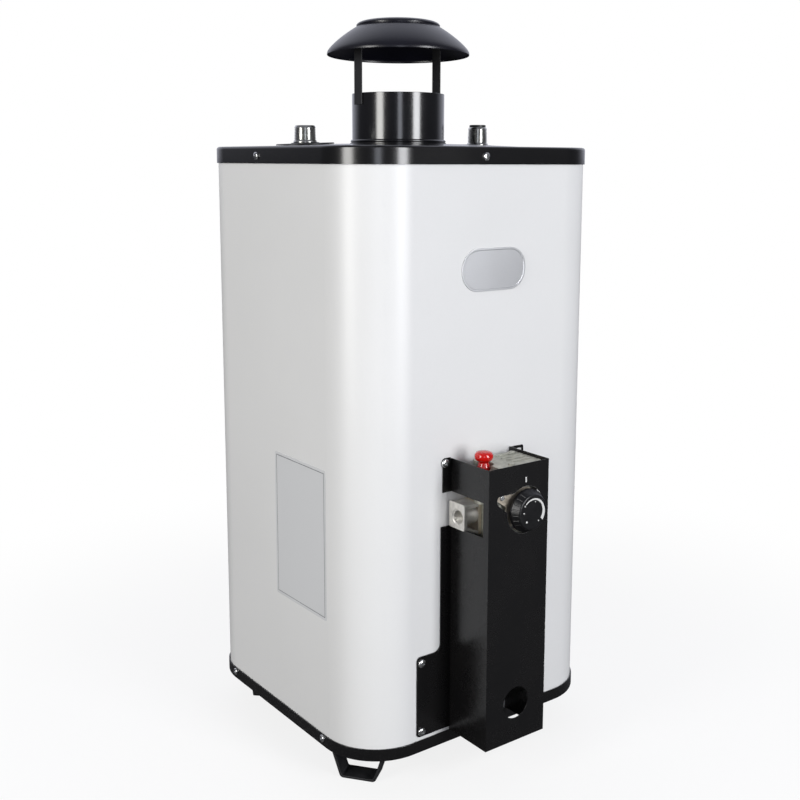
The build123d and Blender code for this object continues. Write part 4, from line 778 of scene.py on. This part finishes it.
# Gas inlet: the cast block with a chamfered mouth and an inside thread
inlet = refined("inlet_block", 0.0)
bore = lathe("bore", [(10.3, -1.0), (10.3, 0.0), (9.1, 1.1)] + threaded_rings(1.3, 14.5, 8.9, 0.04, 0.9)
             + [(7.97, 15.0)], segments=64)
cut(inlet, stand(bore, (-64, -206.1, TRAY + 287.5), TO_RIGHT))
soften(inlet, 0.5, 3, 30)
# The inlet's alloy is painted lighter, standing in for the light on its face
finish(inlet, inlet_alloy_painted_lit, "die_cast", "inlet_block")

# The rest of the gas valve: the nodes' own forms with rounded edges
finish(refined("valve_side_plate", 0.4), rolled_plate, "plate_steel", "valve_side_plate")
finish(refined("valve_front_plate", 0.25), rolled_plate, "plate_steel", "valve_front_plate")
finish(refined("front_plate_screws", 0.1), zinc_plate, "zinc_steel", "front_plate_screws")
finish(refined("valve_top_cover", 0.6, 3), cast_zinc, "die_cast", "valve_top_cover")
finish(refined("valve_body", 0.5), cast_zinc, "die_cast", "valve_body")

# Strap feet
for node in ("foot_front_left", "foot_front_right", "foot_rear_left", "foot_rear_right"):
    finish(refined(node, 0.5), foot_coat, "foot_steel", node)

# Drain cock, its lever and its ring
finish(refined("drain_body", 0.4), turned_brass, "brass", "drain_body")
finish(refined("drain_lever", 0.5), white_plastic, "drain_plastic", "drain_lever", body="drain_tap")
finish(refined("drain_escutcheon", 0.5), white_plastic, "white_plastic", "drain_escutcheon")

# Badge plate: bare, with round ends and a fine groove inside its edge
BADGE_LOW, BADGE_HIGH = corners_of("front_badge")
BADGE_FACE = -(JACKET_HALF + 1.4)
badge_outline = [(BADGE_LOW[0], BADGE_LOW[2]), (BADGE_HIGH[0], BADGE_LOW[2]),
                 (BADGE_HIGH[0], BADGE_HIGH[2]), (BADGE_LOW[0], BADGE_HIGH[2])]
badge = plate("bare_badge", badge_outline, BADGE_FACE, 1.3, {corner: 24 for corner in badge_outline}, 14)
edit(badge)
pick(badge, "FACE", lambda middle, way: way.y < -0.9)
bpy.ops.mesh.inset(thickness=2.2 / 1000, depth=0)
bpy.ops.mesh.inset(thickness=0.4 / 1000, depth=-0.4 / 1000)
done()
soften(badge, 0.15, 2, 40)
finish(badge, brushed_badge, "white_plastic", "front_badge")

# A plain sticker on the left face, bare but for a thin printed line round its edge
STICKER_THICK = 0.16
STICKER_X = -(JACKET_HALF + STICKER_THICK / 2)
STICKER_Y = (-116, 0)
STICKER_Z = (TRAY + 160, TRAY + 343)
LINE_X = (STICKER_X - 0.12, STICKER_X - 0.04)
LINE_INSET = 3.5
LINE_WIDE = 0.8
sticker = block("plain_sticker", (STICKER_X - STICKER_THICK / 2, STICKER_X + STICKER_THICK / 2),
                STICKER_Y, STICKER_Z)
edit(sticker)
pick(sticker, "EDGE", lambda middle, way: abs(way.x) > 0.9)
bpy.ops.mesh.bevel(offset=3.0 / 1000, segments=4, affect="EDGES")
done()
finish(sticker, vinyl, "white_plastic")


def inset_by(margin):
    """The sticker's Y and Z ends, drawn in by a margin."""
    return [(ends[0] + margin, ends[1] - margin) for ends in (STICKER_Y, STICKER_Z)]


line = block("sticker_line", LINE_X, *inset_by(LINE_INSET))
cut(line, block("inside", (-188, -187), *inset_by(LINE_INSET + LINE_WIDE)))
finish(line, grey_ink, "white_plastic")

# Camera, fitted to the photograph
CAMERA_AT = at(-845.0, -1162.7, 738.5)
yaw, pitch, roll = math.radians(-37.169), math.radians(-9.024), math.radians(0.224)
forward = Vector((-math.sin(yaw) * math.cos(pitch), math.cos(yaw) * math.cos(pitch), math.sin(pitch)))
side = Vector((math.cos(yaw), math.sin(yaw), 0.0))
above = side.cross(forward)
right = side * math.cos(roll) + above * math.sin(roll)
above = right.cross(forward)
camera_data = bpy.data.cameras.new("camera")
camera = bpy.data.objects.new("camera", camera_data)
bpy.context.scene.collection.objects.link(camera)
camera_data.lens = 49.721
camera_data.sensor_width = 36.0
camera_data.shift_x = -0.02518
camera_data.shift_y = -0.0799
camera_data.clip_end = 400.0
turn = Matrix((right, above, -forward)).transposed().to_4x4()
camera.matrix_world = Matrix.Translation(CAMERA_AT) @ turn
bpy.context.scene.camera = camera


# Studio lamps: two tall softboxes for the two lit faces, and a strip for the rounded corner between them

def softbox(name, place, aim, width, tall, power, colour):
    """A tall rectangular lamp turned towards a point; its width and height are metres."""
    data = bpy.data.lights.new(name, "AREA")
    data.shape = "RECTANGLE"
    data.size = width
    data.size_y = tall
    data.energy = power
    data.color = srgb(colour)[:3]
    lamp = bpy.data.objects.new(name, data)
    bpy.context.scene.collection.objects.link(lamp)
    lamp.location = place
    lamp.rotation_euler = (Vector(aim) - Vector(place)).to_track_quat("-Z", "Y").to_euler()


# All three look at the heater's middle
centre = at(0, 0, 450)
softbox("right_softbox", at(450, -2600, 1000), centre, 0.8, 1.9, 58.5, "FBFCFF")
softbox("left_softbox", at(-2600, -380, 1000), centre, 0.8, 1.9, 48, "FFFEFB")
softbox("front_strip", at(-1420, -2300, 1000), centre, 0.45, 1.6, 7, "F0F4FF")

# World: a bright cool backdrop behind the object in a dim room; the camera sees plain white
BACKDROP_WAY = (0.557, 0.765, 0.33)
ROOM_TINT = (0.86, 0.88, 1.0, 1)
PLAIN_WHITE = (1, 1, 1, 1)
world = bpy.data.worlds.new("studio")
bpy.context.scene.world = world
world.use_nodes = True
tree = world.node_tree
tree.nodes.clear()
ray = add(tree, "ShaderNodeLightPath")
where = add(tree, "ShaderNodeTexCoord").outputs["Generated"]
toward = add(tree, "ShaderNodeVectorMath", {"operation": "DOT_PRODUCT"}, i0=where, i1=BACKDROP_WAY)
backdrop = add(tree, "ShaderNodeMapRange", {"interpolation_type": "SMOOTHSTEP"},
               i0=toward.outputs["Value"], i1=0.3, i2=0.78, i3=0.0, i4=0.8)
upward = add(tree, "ShaderNodeSeparateXYZ", Vector=where).outputs["Z"]
room = add(tree, "ShaderNodeMapRange", i0=upward, i1=-0.1, i2=1.0, i3=0.10, i4=0.26)
glow = add(tree, "ShaderNodeMath", {"operation": "ADD"}, i0=backdrop.outputs[0], i1=room.outputs[0])
strength = add(tree, "ShaderNodeMix", {"data_type": "FLOAT"}, Factor=ray.outputs["Is Camera Ray"],
               i2=glow.outputs[0], i3=1.0)
hue = add(tree, "ShaderNodeMix", {"data_type": "RGBA"}, i0=ray.outputs["Is Camera Ray"], i6=ROOM_TINT,
          i7=PLAIN_WHITE)
back = add(tree, "ShaderNodeBackground", Color=hue.outputs[2], Strength=strength.outputs[0])
add(tree, "ShaderNodeOutputWorld", Surface=back.outputs[0])

# Floor: it shows the object's shadow near the feet and runs out to plain white; other rays see it dark
FLOOR_SIZE = 300
bpy.ops.mesh.primitive_plane_add(size=FLOOR_SIZE, location=(0, 0, 0))
floor = bpy.context.object
floor.name = "floor"
floor_paint, tree = material("white_floor")
ray = add(tree, "ShaderNodeLightPath")
where = add(tree, "ShaderNodeTexCoord").outputs["Object"]
away = add(tree, "ShaderNodeVectorMath", {"operation": "LENGTH"}, i0=where)
far = add(tree, "ShaderNodeMapRange", {"interpolation_type": "SMOOTHSTEP"}, i0=away.outputs["Value"],
          i1=0.3, i2=1.1, i3=0.82, i4=1.0)
share = add(tree, "ShaderNodeMath", {"operation": "MULTIPLY"}, i0=ray.outputs["Is Camera Ray"],
            i1=far.outputs[0])
shade = add(tree, "ShaderNodeMix", {"data_type": "RGBA"}, i0=ray.outputs["Is Camera Ray"],
            i6=srgb("5E5E5E"), i7=srgb("F0F0F0"))
lit = add(tree, "ShaderNodeBsdfDiffuse", Color=shade.outputs[2])
white = add(tree, "ShaderNodeEmission", Strength=1.0)
mix = add(tree, "ShaderNodeMixShader", i0=share.outputs[0], i1=lit.outputs[0], i2=white.outputs[0])
add(tree, "ShaderNodeOutputMaterial", Surface=mix.outputs[0])
floor.data.materials.append(floor_paint)

bpy.context.scene.view_settings.view_transform = "Standard"
